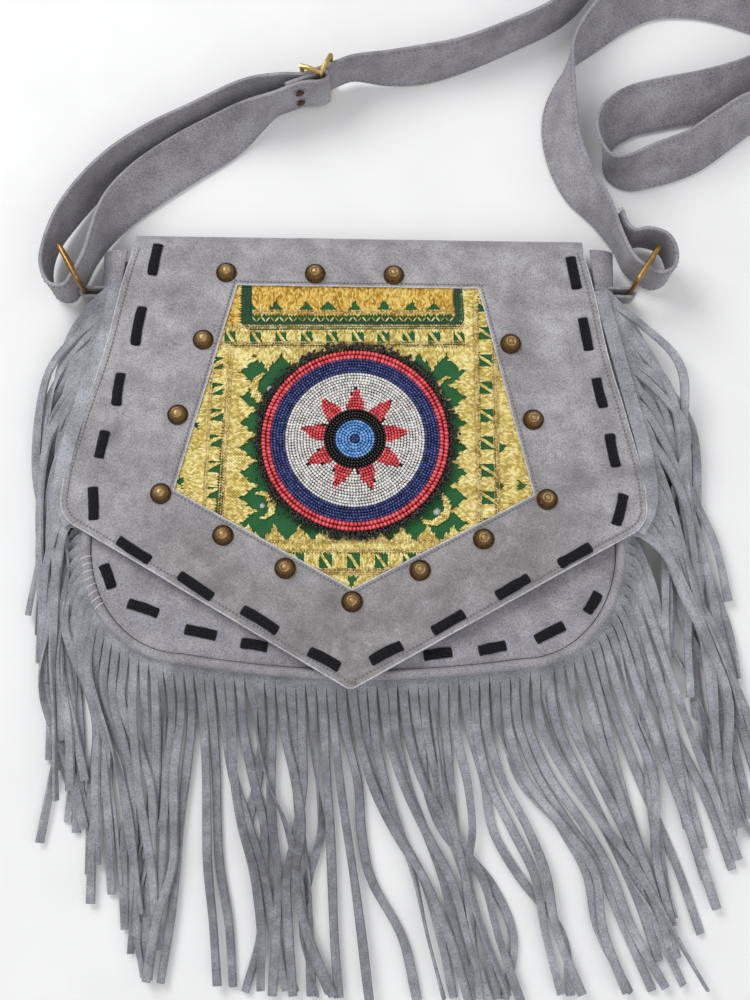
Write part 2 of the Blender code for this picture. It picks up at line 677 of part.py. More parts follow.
def make_pouch():
    """The cloth lining: a flat bag with an open mouth, a little smaller than the suede round it."""
    wall = SUEDE + POUCH_GAP
    low = SUEDE + 2 * GAP
    lining = material("lining_cloth", (0.05, 0.05, 0.06), 0.9)

    def prism(name, inset, floor, ceiling, top):
        outline = [(x, min(y, top)) for x, y in both_sides(body_half(-inset))]
        return loft(name, [
            [(x, y, floor) for x, y in outline],
            [(x, y, body_height(y, ceiling)) for x, y in outline],
        ])

    ceiling = FRONT_LOW - POUCH_GAP
    pouch = link("lining_pouch", prism("lining_pouch", wall, low, ceiling, POUCH_TOP), lining)
    hollow = prism("pouch_hollow", wall + CLOTH, low + CLOTH, ceiling - CLOTH, BODY_TOP + 1.0)
    cutter = link("pouch_hollow", hollow, lining)
    cutter.hide_render = True
    cutter.display_type = "WIRE"
    cut = pouch.modifiers.new("mouth", "BOOLEAN")
    cut.operation = "DIFFERENCE"
    cut.object = cutter


def make_welt():
    """Rolled piping just outside the front panel's edge, level with it."""
    out = WELT_RADIUS + GAP
    line = np.array(wall_path(out))
    step = np.gradient(line, axis=0)
    sections = []
    for (x, y), (dx, dy) in zip(line, step):
        length = hypot(dx, dy)
        across = (dy / length, -dx / length)
        height = body_height(y, FRONT_TOP)
        section = []
        for a, rise in circle((0.0, 0.0), WELT_RADIUS, 8):
            section.append((x + across[0] * a, y + across[1] * a, height + rise))
        sections.append(section)
    link("front_welt", loft("front_welt", sections), suede())


def comb(name, rows, heights, slit_from):
    """A sheet of fringe: whole at its sewn edge, slit into strands from one of its rows on.

    rows are lines of (x, y) across the strands, from the sewn edge to the tips, with a point for each slit.
    heights give each row's underside and top.
    """
    points, index, faces = [], {}, []

    def corner(edge, row, upper, side):
        side = side if row > slit_from else 0
        key = (edge, row, upper, side)
        if key not in index:
            x, y = rows[row][edge]
            index[key] = len(points)
            points.append((x + side * STRAND_GAP / 2, y, heights[row][1 if upper else 0]))
        return index[key]

    strands = len(rows[0]) - 1
    for i in range(strands):
        for row in range(len(rows) - 1):
            quad = [(i, row, 1), (i + 1, row, -1), (i + 1, row + 1, -1), (i, row + 1, 1)]
            faces.append([corner(e, r, True, s) for e, r, s in quad])
            faces.append([corner(e, r, False, s) for e, r, s in reversed(quad)])
            slit = row >= slit_from
            walls = [slit or i == strands - 1, row == len(rows) - 2, slit or i == 0, row == 0]
            ends = [(quad[1], quad[2]), (quad[2], quad[3]), (quad[3], quad[0]), (quad[0], quad[1])]
            for there, (a, b) in zip(walls, ends):
                if there:
                    upper = [corner(e, r, True, s) for e, r, s in (a, b)]
                    lower = [corner(e, r, False, s) for e, r, s in (b, a)]
                    faces.append(upper + lower)
    return mesh_of(name, points, faces)


def fringe_bottom_edge():
    """The line the bottom strip is sewn along, between the rounded corners."""
    reach = BODY_LOW_HALF - FRINGE_BOTTOM_INSET
    line = np.array(wall_path(FRINGE_OUTSET))
    low = line[line[:, 1] < BODY_CORNER]
    at = np.linspace(-reach, reach, int(round(2 * reach / STRAND_PITCH)) + 1)
    return [(x, np.interp(x, low[:, 0], low[:, 1])) for x in at]


def make_fringe_bottom():
    """The strip sewn along the bottom: its strands fall to the surface and drift to the right."""
    level = body_height(BODY_BOTTOM, FRONT_TOP) - WELT_RADIUS - 2 * GAP
    reach = BODY_LOW_HALF - FRINGE_BOTTOM_INSET
    rows, heights = [], []
    for share, drop, thick in FRINGE_FALL:
        line = []
        for x, y in fringe_bottom_edge():
            drift = FRINGE_DRIFT_MIDDLE + FRINGE_DRIFT_SPREAD * x / reach
            lead = Vector((drift, -1.0)).normalized() * share * STRAND_LENGTH
            line.append((x + lead.x, y + lead.y))
        rows.append(line)
        top = max(level - drop, FRINGE_FLOOR + thick)
        heights.append((top - thick, top))
    link("fringe_bottom", comb("fringe_bottom", rows, heights, 2), suede())


def edge_half(y):
    """Half width of the body at a height up its side; below its side, its greatest half width."""
    share = (BODY_TOP - max(y, BODY_CORNER)) / (BODY_TOP - BODY_CORNER)
    return BODY_TOP_HALF + (BODY_LOW_HALF - BODY_TOP_HALF) * share


def make_fringe_side(name, side, lines):
    """A side's strip: its strands lie over one another beside the gusset and fan out below the corner."""
    rows, heights = [], []
    for near_y, near, far_y, far, top in lines:
        base = edge_half(near_y) + (BACK_OUTSET if near_y > BODY_CORNER else 0.0)
        ends = (side * (base + near), near_y), (side * (base + far), far_y)
        rows.append([tuple(p) for p in np.linspace(*sorted(ends), SIDE_STRANDS + 1)])
        heights.append((FRINGE_FLOOR, top))
    link(name, comb(name, rows, heights, SIDE_SLIT_ROW), suede())


def smooth_route(route, spacing):
    """Even points along a smooth curve through the route's own points."""
    knots = np.array(route, float)
    ends = np.vstack([2 * knots[0] - knots[1], knots, 2 * knots[-1] - knots[-2]])
    times = np.concatenate([[0], np.cumsum(np.linalg.norm(np.diff(ends[:, :2], axis=0), axis=1)**0.5)])

    def between(a, b, start, end, t):
        return (a * (end - t) + b * (t - start)) / (end - start)

    fine = []
    for i in range(1, len(ends) - 2):
        p, at = ends[i - 1:i + 3], times[i - 1:i + 3]
        for t in np.linspace(at[1], at[2], 12, endpoint=False):
            first = [between(p[k], p[k + 1], at[k], at[k + 1], t) for k in range(3)]
            second = [between(first[k], first[k + 1], at[k], at[k + 2], t) for k in range(2)]
            fine.append(between(second[0], second[1], at[1], at[2], t))
    fine.append(knots[-1])
    fine = np.array(fine)
    run = np.concatenate([[0], np.cumsum(np.linalg.norm(np.diff(fine[:, :2], axis=0), axis=1))])
    step = np.diff(fine[:, :2], axis=0)
    heading = np.concatenate([[0], np.unwrap(np.arctan2(step[:, 1], step[:, 0]))])
    heading[0] = heading[1]
    turned_by = np.concatenate([[0], np.cumsum(np.abs(np.diff(heading)))])
    pace = run / spacing + turned_by / STRAP_TURN
    at = np.interp(np.linspace(0, pace[-1], int(pace[-1]) + 1), pace, run)
    return np.stack([np.interp(at, run, fine[:, k]) for k in range(fine.shape[1])], axis=1)


def slider_point(along, aside):
    """Plan place at the slider: along the band, and aside to its upper left."""
    turn = SLIDER_TURN
    return (
        SLIDER_PLACE[0] + along * cos(turn) - aside * sin(turn),
        SLIDER_PLACE[1] + along * sin(turn) + aside * cos(turn),
    )


def band_layers():
    """Distances aside, at the slider, of the middle bar, the turned end's two layers and the end bars."""
    layer = STRAP_THICKNESS + GAP
    bar = -(layer + STRAP_THICKNESS / 2 + GAP + WIRE_RADIUS)
    wrap = WIRE_RADIUS + GAP + STRAP_THICKNESS / 2
    return bar, wrap, STRAP_THICKNESS / 2 + GAP + WIRE_RADIUS


def strap_route():
    """(x, y, lean in degrees, lift) along the band's middle, from its riveted end to its sewn end."""
    bar, wrap, end_bar = band_layers()
    lift = STRAP_LIFT
    layer = STRAP_THICKNESS + GAP
    route = [(*slider_point(-place * TAIL_LENGTH, bar + wrap), 0, lift) for place in (1.0, 0.5, 0.15)]
    for angle in np.radians((90, 45, 0, -45, -90)):
        route.append((*slider_point(SLIDER_PLAY + wrap * cos(angle), bar + wrap * sin(angle)), 0, lift))
    for place, spare in ((0.15, 0.0029), (0.35, 0.0013), (0.65, 0.0001), (1.05, 0.0001), (1.4, 0.0003)):
        route.append((*slider_point(-place * TAIL_LENGTH, bar + wrap - layer - spare), 0, lift))
    route += [(x / 1000, y / 1000, lean, up * lift) for x, y, lean, up in STRAP_TO_RING]
    route.append((*slider_point(-2 * TAIL_LENGTH, 0.0065), 8, lift))
    route.append((*slider_point(-TAIL_LENGTH, 0.0038), 2, lift))
    route += [(*slider_point(place, 0.0), 0, lift) for place in (-SLIDER_BAR_PITCH, 0.0, SLIDER_BAR_PITCH, TAIL_LENGTH)]
    route += [(x / 1000, y / 1000, lean, up * lift) for x, y, lean, up in STRAP_TO_END]
    return route


def make_strap():
    """One flat band on its edge: each section leans from upright by its own angle."""
    line = smooth_route(strap_route(), STRAP_SPACING)
    step = np.gradient(line[:, :2], axis=0)
    sections = []
    for (x, y, lean, lift), (dx, dy) in zip(line, step):
        length = hypot(dx, dy)
        left = Vector((-dy / length, dx / length, 0))
        lean = radians(lean)
        width = (left * sin(lean) + Vector((0, 0, cos(lean)))) * STRAP_WIDTH / 2
        thick = (left * cos(lean) - Vector((0, 0, sin(lean)))) * STRAP_THICKNESS / 2
        height = STRAP_FLOOR + lift + abs(width.z) + abs(thick.z)
        middle = Vector((x, y, height))
        sections.append([middle - width - thick, middle + width - thick, middle + width + thick, middle - width + thick])
    strap = link("strap", loft("strap", sections), suede())
    for i, cutter in enumerate(rivet_holes()):
        cut = strap.modifiers.new(f"rivet_hole_{i}", "BOOLEAN")
        cut.operation = "DIFFERENCE"
        cut.object = cutter


def rivet_places():
    """Plan place of the rivets' line and its direction, with the two heights."""
    bar, wrap, end_bar = band_layers()
    middle = STRAP_FLOOR + STRAP_LIFT + STRAP_WIDTH / 2
    aside = bar + wrap - (STRAP_THICKNESS + GAP) / 2
    return aside, (middle + RIVET_SPREAD, middle - RIVET_SPREAD)


def rivet_frame(height, aside):
    """Maps (x, y, depth) of a turned shape to a rivet across the band, its depth pointing to the upper left."""

    def place(a, b, depth):
        x, y = slider_point(-RIVET_BACK + a, aside + depth)
        return Vector((x, y, height + b))

    return place


def rivet_holes():
    aside, heights = rivet_places()
    cutters = []
    for i, height in enumerate(heights):
        reach = 2 * STRAP_THICKNESS
        profile = [(0, -reach), (RIVET_RADIUS + GAP, -reach), (RIVET_RADIUS + GAP, 1.25 * STRAP_THICKNESS), (0, 1.25 * STRAP_THICKNESS)]
        cutter = link(f"rivet_hole_{i}", turned(f"rivet_hole_{i}", profile, 10, rivet_frame(height, aside)), suede())
        cutter.hide_render = True
        cutter.display_type = "WIRE"
        cutters.append(cutter)
    return cutters


def make_rivets():
    aside, heights = rivet_places()
    half = STRAP_THICKNESS + GAP / 2 + GAP
    low = half + 0.0012
    profile = [
        (0, -low - RIVET_HEAD), (RIVET_HEAD_RADIUS * 0.7, -low - RIVET_HEAD), (RIVET_HEAD_RADIUS, -low),
        (RIVET_RADIUS, -low), (RIVET_RADIUS, half), (RIVET_HEAD_RADIUS, half),
        (RIVET_HEAD_RADIUS * 0.7, half + RIVET_HEAD), (0, half + RIVET_HEAD),
    ]
    for name, height in zip(("strap_rivet_upper", "strap_rivet_lower"), heights):
        link(name, turned(name, profile, 10, rivet_frame(height, aside)), antique_brass())


def tube(name, line, radius, sides, ring):
    """A round wire through points, closed on itself or with flat ends."""
    line = [Vector(p) for p in line]
    count = len(line)
    sections, normal = [], None
    for i in range(count):
        before = line[i - 1] if ring or i else line[i]
        after = line[(i + 1) % count] if ring or i < count - 1 else line[i]
        into = (line[i] - before).normalized() if (line[i] - before).length else (after - line[i]).normalized()
        out = (after - line[i]).normalized() if (after - line[i]).length else into
        tangent = (into + out).normalized()
        if normal is None:
            normal = tangent.orthogonal()
        normal = (normal - tangent * normal.dot(tangent)).normalized()
        side = tangent.cross(normal)
        sections.append([line[i] + (normal * cos(a) + side * sin(a)) * radius for a in np.linspace(0, 2 * pi, sides + 1)[:-1]])
    return loft(name, sections, ring)


def upright_loop(foot, turn, span, low, inner_height):
    """Rounded rectangle of wire standing on the surface, from its bar at foot to the bar at its far side."""
    corner = 2.2 * WIRE_RADIUS
    bottom, top = low + WIRE_RADIUS, low + 3 * WIRE_RADIUS + inner_height
    outline = []
    for centre, start in (
        ((span - corner, bottom + corner), -90), ((span - corner, top - corner), 0),
        ((corner, top - corner), 90), ((corner, bottom + corner), 180),
    ):
        outline += arc(centre, corner, radians(start), radians(start + 90), 4)
    return [(foot[0] + a * cos(turn), foot[1] + a * sin(turn), height) for a, height in outline]


def make_ring(name, foot, turn):
    pivot = joint_empty(name + "_axis", (*foot, RING_FLOOR))
    line = upright_loop(foot, turn, RING_SPAN, RING_FLOOR, RING_INNER_HEIGHT)
    link(name, tube(name, line, WIRE_RADIUS, 8, True), antique_brass(), pivot)


def make_tab(name, foot, side):
    """A suede loop round the ring's inner bar, its two legs running to the gusset."""
    radius = WIRE_RADIUS + GAP + TAB_THICKNESS / 2
    low = RING_FLOOR + 4.4 * WIRE_RADIUS
    high = low + TAB_HEIGHT
    reach = max(gusset_reach(foot[1] - radius, low), edge_half(foot[1] - radius) + 2 * WELT_RADIUS + GAP)
    end = side * (reach + 2 * GAP - abs(foot[0]))
    bend = [(foot[0] + side * radius * sin(a), foot[1] + radius * cos(a)) for a in np.linspace(0, pi, 7)]
    path = [(foot[0] + end, foot[1] + radius)] + bend + [(foot[0] + end, foot[1] - radius)]
    sections = []
    for i, (x, y) in enumerate(path):
        before, after = path[max(0, i - 1)], path[min(len(path) - 1, i + 1)]
        dx, dy = after[0] - before[0], after[1] - before[1]
        length = hypot(dx, dy)
        nx, ny = -dy / length * TAB_THICKNESS / 2, dx / length * TAB_THICKNESS / 2
        sections.append([(x - nx, y - ny, low), (x + nx, y + ny, low), (x + nx, y + ny, high), (x - nx, y - ny, high)])
    link(name, loft(name, sections), suede())


def make_slider():
    """Two end bars and a middle bar set back, so that the band runs straight through."""
    bar, wrap, end_bar = band_layers()
    pivot = joint_empty("strap_slider_axis", (*SLIDER_PLACE, RING_FLOOR))
    low, high = RING_FLOOR + WIRE_RADIUS, RING_FLOOR + 3 * WIRE_RADIUS + RING_INNER_HEIGHT
    pitch = SLIDER_BAR_PITCH

    def at(along, aside, height):
        return (*slider_point(along, aside), height)

    rim = []
    for height, order in ((low, 1), (high, -1)):
        rim += [at(order * a, s, height) for a, s in ((-pitch, end_bar), (0, bar), (pitch, end_bar))]
    frame = link("strap_slider", tube("strap_slider", rim, WIRE_RADIUS, 8, True), material("slider_brass", PALE_BRASS, 0.3, 1.0), pivot)
    middle = [at(0, bar, low), at(0, bar, high)]
    cross = link("slider_middle_bar", tube("slider_middle_bar", middle, WIRE_RADIUS * 0.98, 8, False), antique_brass(), pivot)
    cross.hide_render = True
    cross.display_type = "WIRE"
    join = frame.modifiers.new("middle_bar", "BOOLEAN")
    join.operation = "UNION"
    join.object = cross


def main():
    clear_scene()
    hinge = joint_empty("flap_hinge_axis", (0.0, FOLD_Y, FOLD_Z))
    make_flap(hinge)
    make_medallion(hinge)
    make_studs(hinge)
    make_snap(hinge)
    make_body()
    make_welt()
    make_fringe_bottom()
    make_fringe_side("fringe_left", -1, SIDE_FRINGE_LEFT)
    make_fringe_side("fringe_right", 1, SIDE_FRINGE_RIGHT)
    make_strap()
    make_rivets()
    make_ring("ring_left", RING_LEFT_TAB, RING_LEFT_TURN)
    make_ring("ring_right", RING_RIGHT_TAB, RING_RIGHT_TURN)
    make_tab("strap_tab_left", RING_LEFT_TAB, -1)
    make_tab("strap_tab_right", RING_RIGHT_TAB, 1)
    make_slider()


main()
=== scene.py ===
"""Looks of a suede fringe crossbody bag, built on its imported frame.

Run as a script. Each group of pieces has its own operator, and the sidebar panel lists them all.
"""

from math import atan2, cos, hypot, pi, radians, sin

import bmesh
import bpy
import numpy as np
from mathutils import Matrix, Vector


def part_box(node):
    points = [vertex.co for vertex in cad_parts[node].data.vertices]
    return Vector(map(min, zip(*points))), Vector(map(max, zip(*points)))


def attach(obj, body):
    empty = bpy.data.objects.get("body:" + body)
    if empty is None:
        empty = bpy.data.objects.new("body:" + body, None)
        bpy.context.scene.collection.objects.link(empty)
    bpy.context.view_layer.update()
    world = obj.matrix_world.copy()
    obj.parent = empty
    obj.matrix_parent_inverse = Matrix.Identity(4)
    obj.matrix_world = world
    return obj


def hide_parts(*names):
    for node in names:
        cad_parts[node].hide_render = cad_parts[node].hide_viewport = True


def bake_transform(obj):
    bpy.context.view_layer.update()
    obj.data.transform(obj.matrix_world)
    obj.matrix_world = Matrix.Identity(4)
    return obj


bl_info = {
    "name": "Fringe crossbody bag",
    "version": (1, 0, 0),
    "blender": (4, 5, 0),
    "location": "3D View > Sidebar > Fringe bag",
    "description": "Builds the looks of a suede crossbody bag on its CAD frame",
    "category": "Object",
}

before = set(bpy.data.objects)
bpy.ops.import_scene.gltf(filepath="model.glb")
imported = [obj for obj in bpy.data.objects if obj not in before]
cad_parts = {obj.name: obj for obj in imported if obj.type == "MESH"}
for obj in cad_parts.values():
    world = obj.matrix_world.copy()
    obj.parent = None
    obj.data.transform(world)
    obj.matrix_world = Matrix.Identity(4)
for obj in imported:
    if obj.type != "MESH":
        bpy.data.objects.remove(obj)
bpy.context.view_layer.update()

# Sizes shared with the CAD solids, in metres
SUEDE = 0.0016
GAP = 0.0003
FOLD_Y = 0.108
FOLD_Z = 0.012
BACK_FOLD_RADIUS = 0.012
FLAP_FOLD_RADIUS = 0.0101
FLAP_SLOPE = radians(4.3)
FLAP_LENGTH = 0.240
FLAP_TOP_HALF = 0.1235
FLAP_SIDE = ((0.129, 0.023), (0.1355, 0.058), (0.145, 0.093), (0.1525, 0.123), (0.1545, 0.142))
FLAP_CORNER_RADIUS = 0.016
FLAP_POINT_RISE = 0.075
WINDOW = ((0.066, 0.0205), (0.0951, 0.1368), (0.0, 0.1886))
LINING_DEPTH = 0.0032
LINING_SUEDE = 0.0008
FRONT_DEPTH = 0.0074
STUD_PLACES = (
    (-0.072, 0.014), (-0.0235, 0.014), (0.0195, 0.014), (-0.083, 0.053), (0.083, 0.053), (-0.0947, 0.0955),
    (0.0947, 0.0955), (-0.1015, 0.139), (0.1015, 0.139), (-0.068, 0.161), (0.068, 0.161), (-0.035, 0.178),
    (0.035, 0.178), (0.0, 0.195),
)
MEDALLION_DOWN = 0.1078
# No gilt stitch is laid under the rosette
ROSETTE_COVER = 0.0515
STAR_POINTS = 9
STAR_TIP = 0.0290
STAR_ROOT = 0.0165
STAR_FULLNESS = 0.84
BODY_TOP_HALF = 0.130
BODY_LOW_HALF = 0.138
BODY_TOP = 0.103
BODY_CORNER = -0.055
BODY_CORNER_WIDTH = 0.050
BODY_BOTTOM_SIDE = -0.113
BODY_BOTTOM = -0.120
BACK_OUTSET = 0.008
GUSSET_BULGE = 0.62
WELT_RADIUS = 0.0026
LACE_WIDTH = 0.0054
STRAND_PITCH = 0.0053
STRAP_WIDTH = 0.030
STRAP_THICKNESS = 0.0018
STRAP_FLOOR = 0.0006
STRAP_LIFT = 0.0034
WIRE_RADIUS = 0.0014
RING_FLOOR = 0.0006
RING_SPAN = 0.023
RING_INNER_HEIGHT = 0.033
RING_LEFT = ((-0.150, 0.085), radians(120))
RING_RIGHT = ((0.150, 0.089), radians(58))
SLIDER_PLACE = (-0.024, 0.210)
SLIDER_TURN = radians(22)
SLIDER_PITCH = 0.0085
TAIL = 0.020
CAMERA_AIM = (0.01107, -0.03103, 0.03)
CAMERA_DISTANCE = 0.74
CAMERA_TILT = radians(9.5)
CAMERA_ROLL = radians(0.853)
CAMERA_LENS = 50.53
SENSOR = 36.0
PICTURE = (750, 1000)
# Depths under the flap's face at which stitches are laid
LAID_LOW = 0.0018
LAID = 0.0016
LAID_LOBES = 0.0015
LAID_CRESCENTS = 0.0013
# Thickness and needle holes of machine sewing
SEWING_THREAD = 0.0005
FLAP_HOLE = 0.0011
STRAP_HOLE = 0.0010
# Both ends of each outer stitch of the thongs, in millimetres: on the flap, and on the front panel's plan
FLAP_THONG = (
    (-109.8, 3.0, -112.6, -16.5), (-116.6, -33.8, -119.6, -57.2), (-126.3, -71.9, -127.9, -91.1),
    (-133.0, -104.0, -135.7, -120.0), (-138.0, -134.8, -136.3, -153.7), (-123.1, -163.6, -104.8, -175.0),
    (-90.5, -181.7, -71.8, -194.0), (-57.1, -199.5, -37.7, -211.2), (-22.1, -220.7, -5.5, -229.2),
    (9.7, -225.9, 26.5, -216.9), (41.3, -210.0, 58.3, -199.9), (74.3, -191.3, 92.0, -180.5),
    (106.7, -173.9, 124.6, -163.6), (142.1, -134.3, 137.4, -152.2), (138.7, -120.7, 135.5, -101.5),
    (132.7, -88.1, 128.8, -70.8), (125.4, -56.1, 122.0, -36.6), (119.6, -20.9, 116.1, -1.0),
)
FRONT_THONG = (
    (-131.0, -66.8, -125.5, -80.0), (-117.3, -87.3, -100.4, -92.8), (-87.0, -100.4, -69.7, -103.8),
    (-57.7, -107.3, -43.1, -109.7), (37.1, -112.7, 52.5, -110.4), (65.5, -109.7, 80.5, -106.4),
    (95.0, -103.6, 110.7, -95.5), (121.9, -88.9, 128.5, -77.8),
)
STRAP_TO_RING = (
    (-74, 180, -35, 0), (-99, 165, -45, 0), (-119, 150, -42, 0), (-134, 134, -28, 0), (-143, 117, -10, 0.6),
    (-148, 104, 0, 1), (-153.5, 91.5, 0, 1), (-159, 83.5, 0, 1), (-166.5, 84.5, 0, 1), (-171.5, 95, 0, 1),
    (-170, 110, 0, 1), (-161, 130, 8, 0.5), (-142, 155, 12, 0), (-120, 172, 14, 0), (-93, 187, 12, 0),
)
STRAP_TO_END = (
    (14, 219, 12, 0.3), (33, 222, 18, 0), (56, 228, 13, 0), (90, 243, 9, 0), (107, 252, 9, 0),
    (120, 263, 12, 0),
    (131, 278, 15, 0), (152, 297, 12, 0), (190, 310, 10, 0), (232, 304, 10, 0), (262, 281, 5, 0),
    (272, 246, 0, 0),
    (262, 216, -10, 0), (240, 202, -20, 0), (219, 196, -30, 0), (203, 185, -35, 0), (186, 173, -35, 0),
    (166, 165, -32, 0), (151, 160, -20, 0), (140, 163, 0, 0), (136, 174, 15, 0), (140, 187, 35, 0),
    (152, 197, 45, 0),
    (172, 203, 48, 0), (195, 208, 45, 0), (220, 217, 35, 0), (239, 231, 10, 0), (240, 249, -15, 0),
    (222, 263, -40, 0), (193, 272, -50, 0), (165, 270, -48, 0), (146, 259, -40, 0), (130, 243, -25, 0),
    (119, 229, -5, 0), (113.5, 210, 20, 0), (112, 192, 33, 0), (115, 171, 33, 0), (123, 152, 28, 0),
    (134, 136, 14, 0.4), (143, 118, 0, 1), (149.5, 104.5, 0, 1), (156.1, 98.8, 0, 1), (164, 95.5, 0, 1),
    (171, 99, 0, 1), (172.5, 108, 0, 1), (168, 117, 0, 1), (158, 120.5, 0, 1), (150, 119.4, 0, 1),
    (145.4, 122.8, -3, 0.9), (141.6, 130.2, -9, 0.6),
)


class FlapSettings(bpy.types.PropertyGroup):
    leather: bpy.props.StringProperty(name="Suede", description="Colour of the bag's suede",
                                      default="#A6A3AA")
    corner_sag: bpy.props.FloatProperty(
        name="Corner sag", description="How far the flap's lower corners hang", default=0.0030,
        unit="LENGTH")
    stitch_pitch: bpy.props.FloatProperty(
        name="Stitch pitch", description="Distance between needle holes", default=0.0021, unit="LENGTH")
    stitch_inset: bpy.props.FloatProperty(
        name="Stitch inset", description="Distance of the sewn line from the edge", default=0.0030,
        unit="LENGTH")


class BeadSettings(bpy.types.PropertyGroup):
    row: bpy.props.FloatProperty(name="Row", description="Distance between bead rows", default=0.00160,
                                 unit="LENGTH")
    pitch: bpy.props.FloatProperty(
        name="Pitch", description="Distance between beads along a row", default=0.00156, unit="LENGTH")
    red_row: bpy.props.FloatProperty(
        name="Rim row", description="Distance between the two large rim rows", default=0.00262,
        unit="LENGTH")
    seed: bpy.props.IntProperty(name="Seed", description="Seed of the beads' unevenness", default=4)


class EmbroiderySettings(bpy.types.PropertyGroup):
    thread: bpy.props.FloatProperty(name="Thread", description="Pitch of the metal threads",
                                    default=0.00078, unit="LENGTH")
    stitch: bpy.props.FloatProperty(name="Stitch", description="Length of one laid stitch", default=0.0026,
                                    unit="LENGTH")
    gold: bpy.props.StringProperty(name="Gold", description="Colour of the metal thread", default="#DDC667")
    cloth: bpy.props.StringProperty(name="Cloth", description="Colour of the ground cloth",
                                    default="#1D6B36")


class FringeSettings(bpy.types.PropertyGroup):
    length: bpy.props.FloatProperty(name="Length", description="Length of a strand", default=0.172,
                                    unit="LENGTH")
    width: bpy.props.FloatProperty(name="Width", description="Width of a strand", default=0.0049,
                                   unit="LENGTH")
    thickness: bpy.props.FloatProperty(
        name="Thickness", description="Thickness of the fringe suede", default=0.0012, unit="LENGTH")
    seed: bpy.props.IntProperty(name="Seed", description="Seed of the strands' lie", default=11)


def stored(name):
    """A group of settings, by its name in the scene."""
    return getattr(bpy.context.scene, name)


# Colour and node helpers

def linear(code):
    """An sRGB hex colour as linear red, green, blue and alpha."""
    parts = [int(code[i:i + 2], 16) / 255 for i in (1, 3, 5)]
    return (*[c / 12.92 if c <= 0.04045 else ((c + 0.055) / 1.055) ** 2.4 for c in parts], 1.0)


def add_node(tree, kind, inputs=None, stops=(), **settings):
    """A node with its settings and a ramp's (place, hex colour) stops, each input linked or set."""
    made = tree.nodes.new(kind)
    for name, value in settings.items():
        setattr(made, name, value)
    if stops:
        points = made.color_ramp.elements
        while len(points) < len(stops):
            points.new(0.5)
        for point, (place, code) in zip(points, stops):
            point.position = place
            point.color = linear(code)
    for key, value in (inputs or {}).items():
        if isinstance(value, bpy.types.NodeSocket):
            tree.links.new(value, made.inputs[key])
        else:
            made.inputs[key].default_value = value
    return made


def start_material(name, **constants):
    """A new material, its tree and its shader, with the constants on the shader's own sockets."""
    made = bpy.data.materials.new(name)
    made.use_nodes = True
    shader = made.node_tree.nodes["Principled BSDF"]
    for key, value in constants.items():
        shader.inputs[key.replace("_", " ")].default_value = value
    return made, made.node_tree, shader


def suede_material(name, dark, middle, light, nap=0.0009):
    """Split cowhide, sueded: a matt nap that scatters light, with brushed patches and pin-point speckle."""
    made, tree, shader = start_material(
        name, Roughness=0.95, Sheen_Weight=0.22, Sheen_Roughness=0.45, Specular_IOR_Level=0.18)
    spot = add_node(tree, "ShaderNodeTexCoord").outputs["Object"]
    # Real fibres are finer than a pixel, so the speckle is drawn at about a millimetre
    brushed, fibres, smears = (
        add_node(tree, "ShaderNodeTexNoise", {
            "Vector": spot, "Scale": 1 / size, "Detail": detail, "Roughness": rough}).outputs["Fac"]
        for size, detail, rough in ((0.030, 4.0, 0.55), (nap, 3.0, 0.7), (0.011, 3.0, 0.5)))
    even = add_node(tree, "ShaderNodeMath", {0: brushed, 1: smears}, operation="ADD").outputs[0]
    spread = add_node(tree, "ShaderNodeMapRange", {"Value": even, "From Min": 0.66, "From Max": 1.34})
    tone = add_node(tree, "ShaderNodeValToRGB", {"Fac": spread.outputs["Result"]},
                    ((0.0, dark), (0.5, middle), (1.0, light)))
    sharp = add_node(tree, "ShaderNodeMapRange", {"Value": fibres, "From Min": 0.36, "From Max": 0.64})
    speckle = add_node(tree, "ShaderNodeValToRGB", {"Fac": sharp.outputs["Result"]},
                       ((0.0, "#C4C4C6"), (0.5, "#EAEAEA"), (1.0, "#FFFFFF")))
    colour = add_node(tree, "ShaderNodeMix", {0: 1.0, 6: tone.outputs["Color"], 7: speckle.outputs["Color"]},
                      data_type="RGBA", blend_type="MULTIPLY")
    tree.links.new(colour.outputs[2], shader.inputs["Base Color"])
    both = add_node(tree, "ShaderNodeMath", {0: fibres, 1: smears}, operation="ADD").outputs[0]
    relief = add_node(tree, "ShaderNodeBump", {"Height": both, "Distance": 0.0005, "Strength": 0.7})
    tree.links.new(relief.outputs["Normal"], shader.inputs["Normal"])
    return made


def add_stain_and_painted_shade(made, place, radius, code):
    """Darkens a material softly and patchily round a point: used for a real stain and for painted shade."""
    tree = made.node_tree
    shader = tree.nodes["Principled BSDF"]
    unmarked = shader.inputs["Base Color"].links[0].from_socket
    spot = add_node(tree, "ShaderNodeTexCoord").outputs["Object"]
    away = add_node(tree, "ShaderNodeVectorMath", {0: spot, 1: place}, operation="DISTANCE")
    near = add_node(tree, "ShaderNodeMapRange", {
        "Value": away.outputs["Value"], "From Min": radius, "From Max": 0.0})
    uneven = add_node(tree, "ShaderNodeTexNoise", {"Vector": spot, "Scale": 1 / 0.004})
    patchy = add_node(tree, "ShaderNodeMath", {0: near.outputs["Result"], 1: uneven.outputs["Fac"]},
                      operation="MULTIPLY")
    darkened = add_node(tree, "ShaderNodeMix", {0: patchy.outputs[0], 6: unmarked, 7: linear(code)},
                     data_type="RGBA")
    tree.links.new(darkened.outputs[2], shader.inputs["Base Color"])


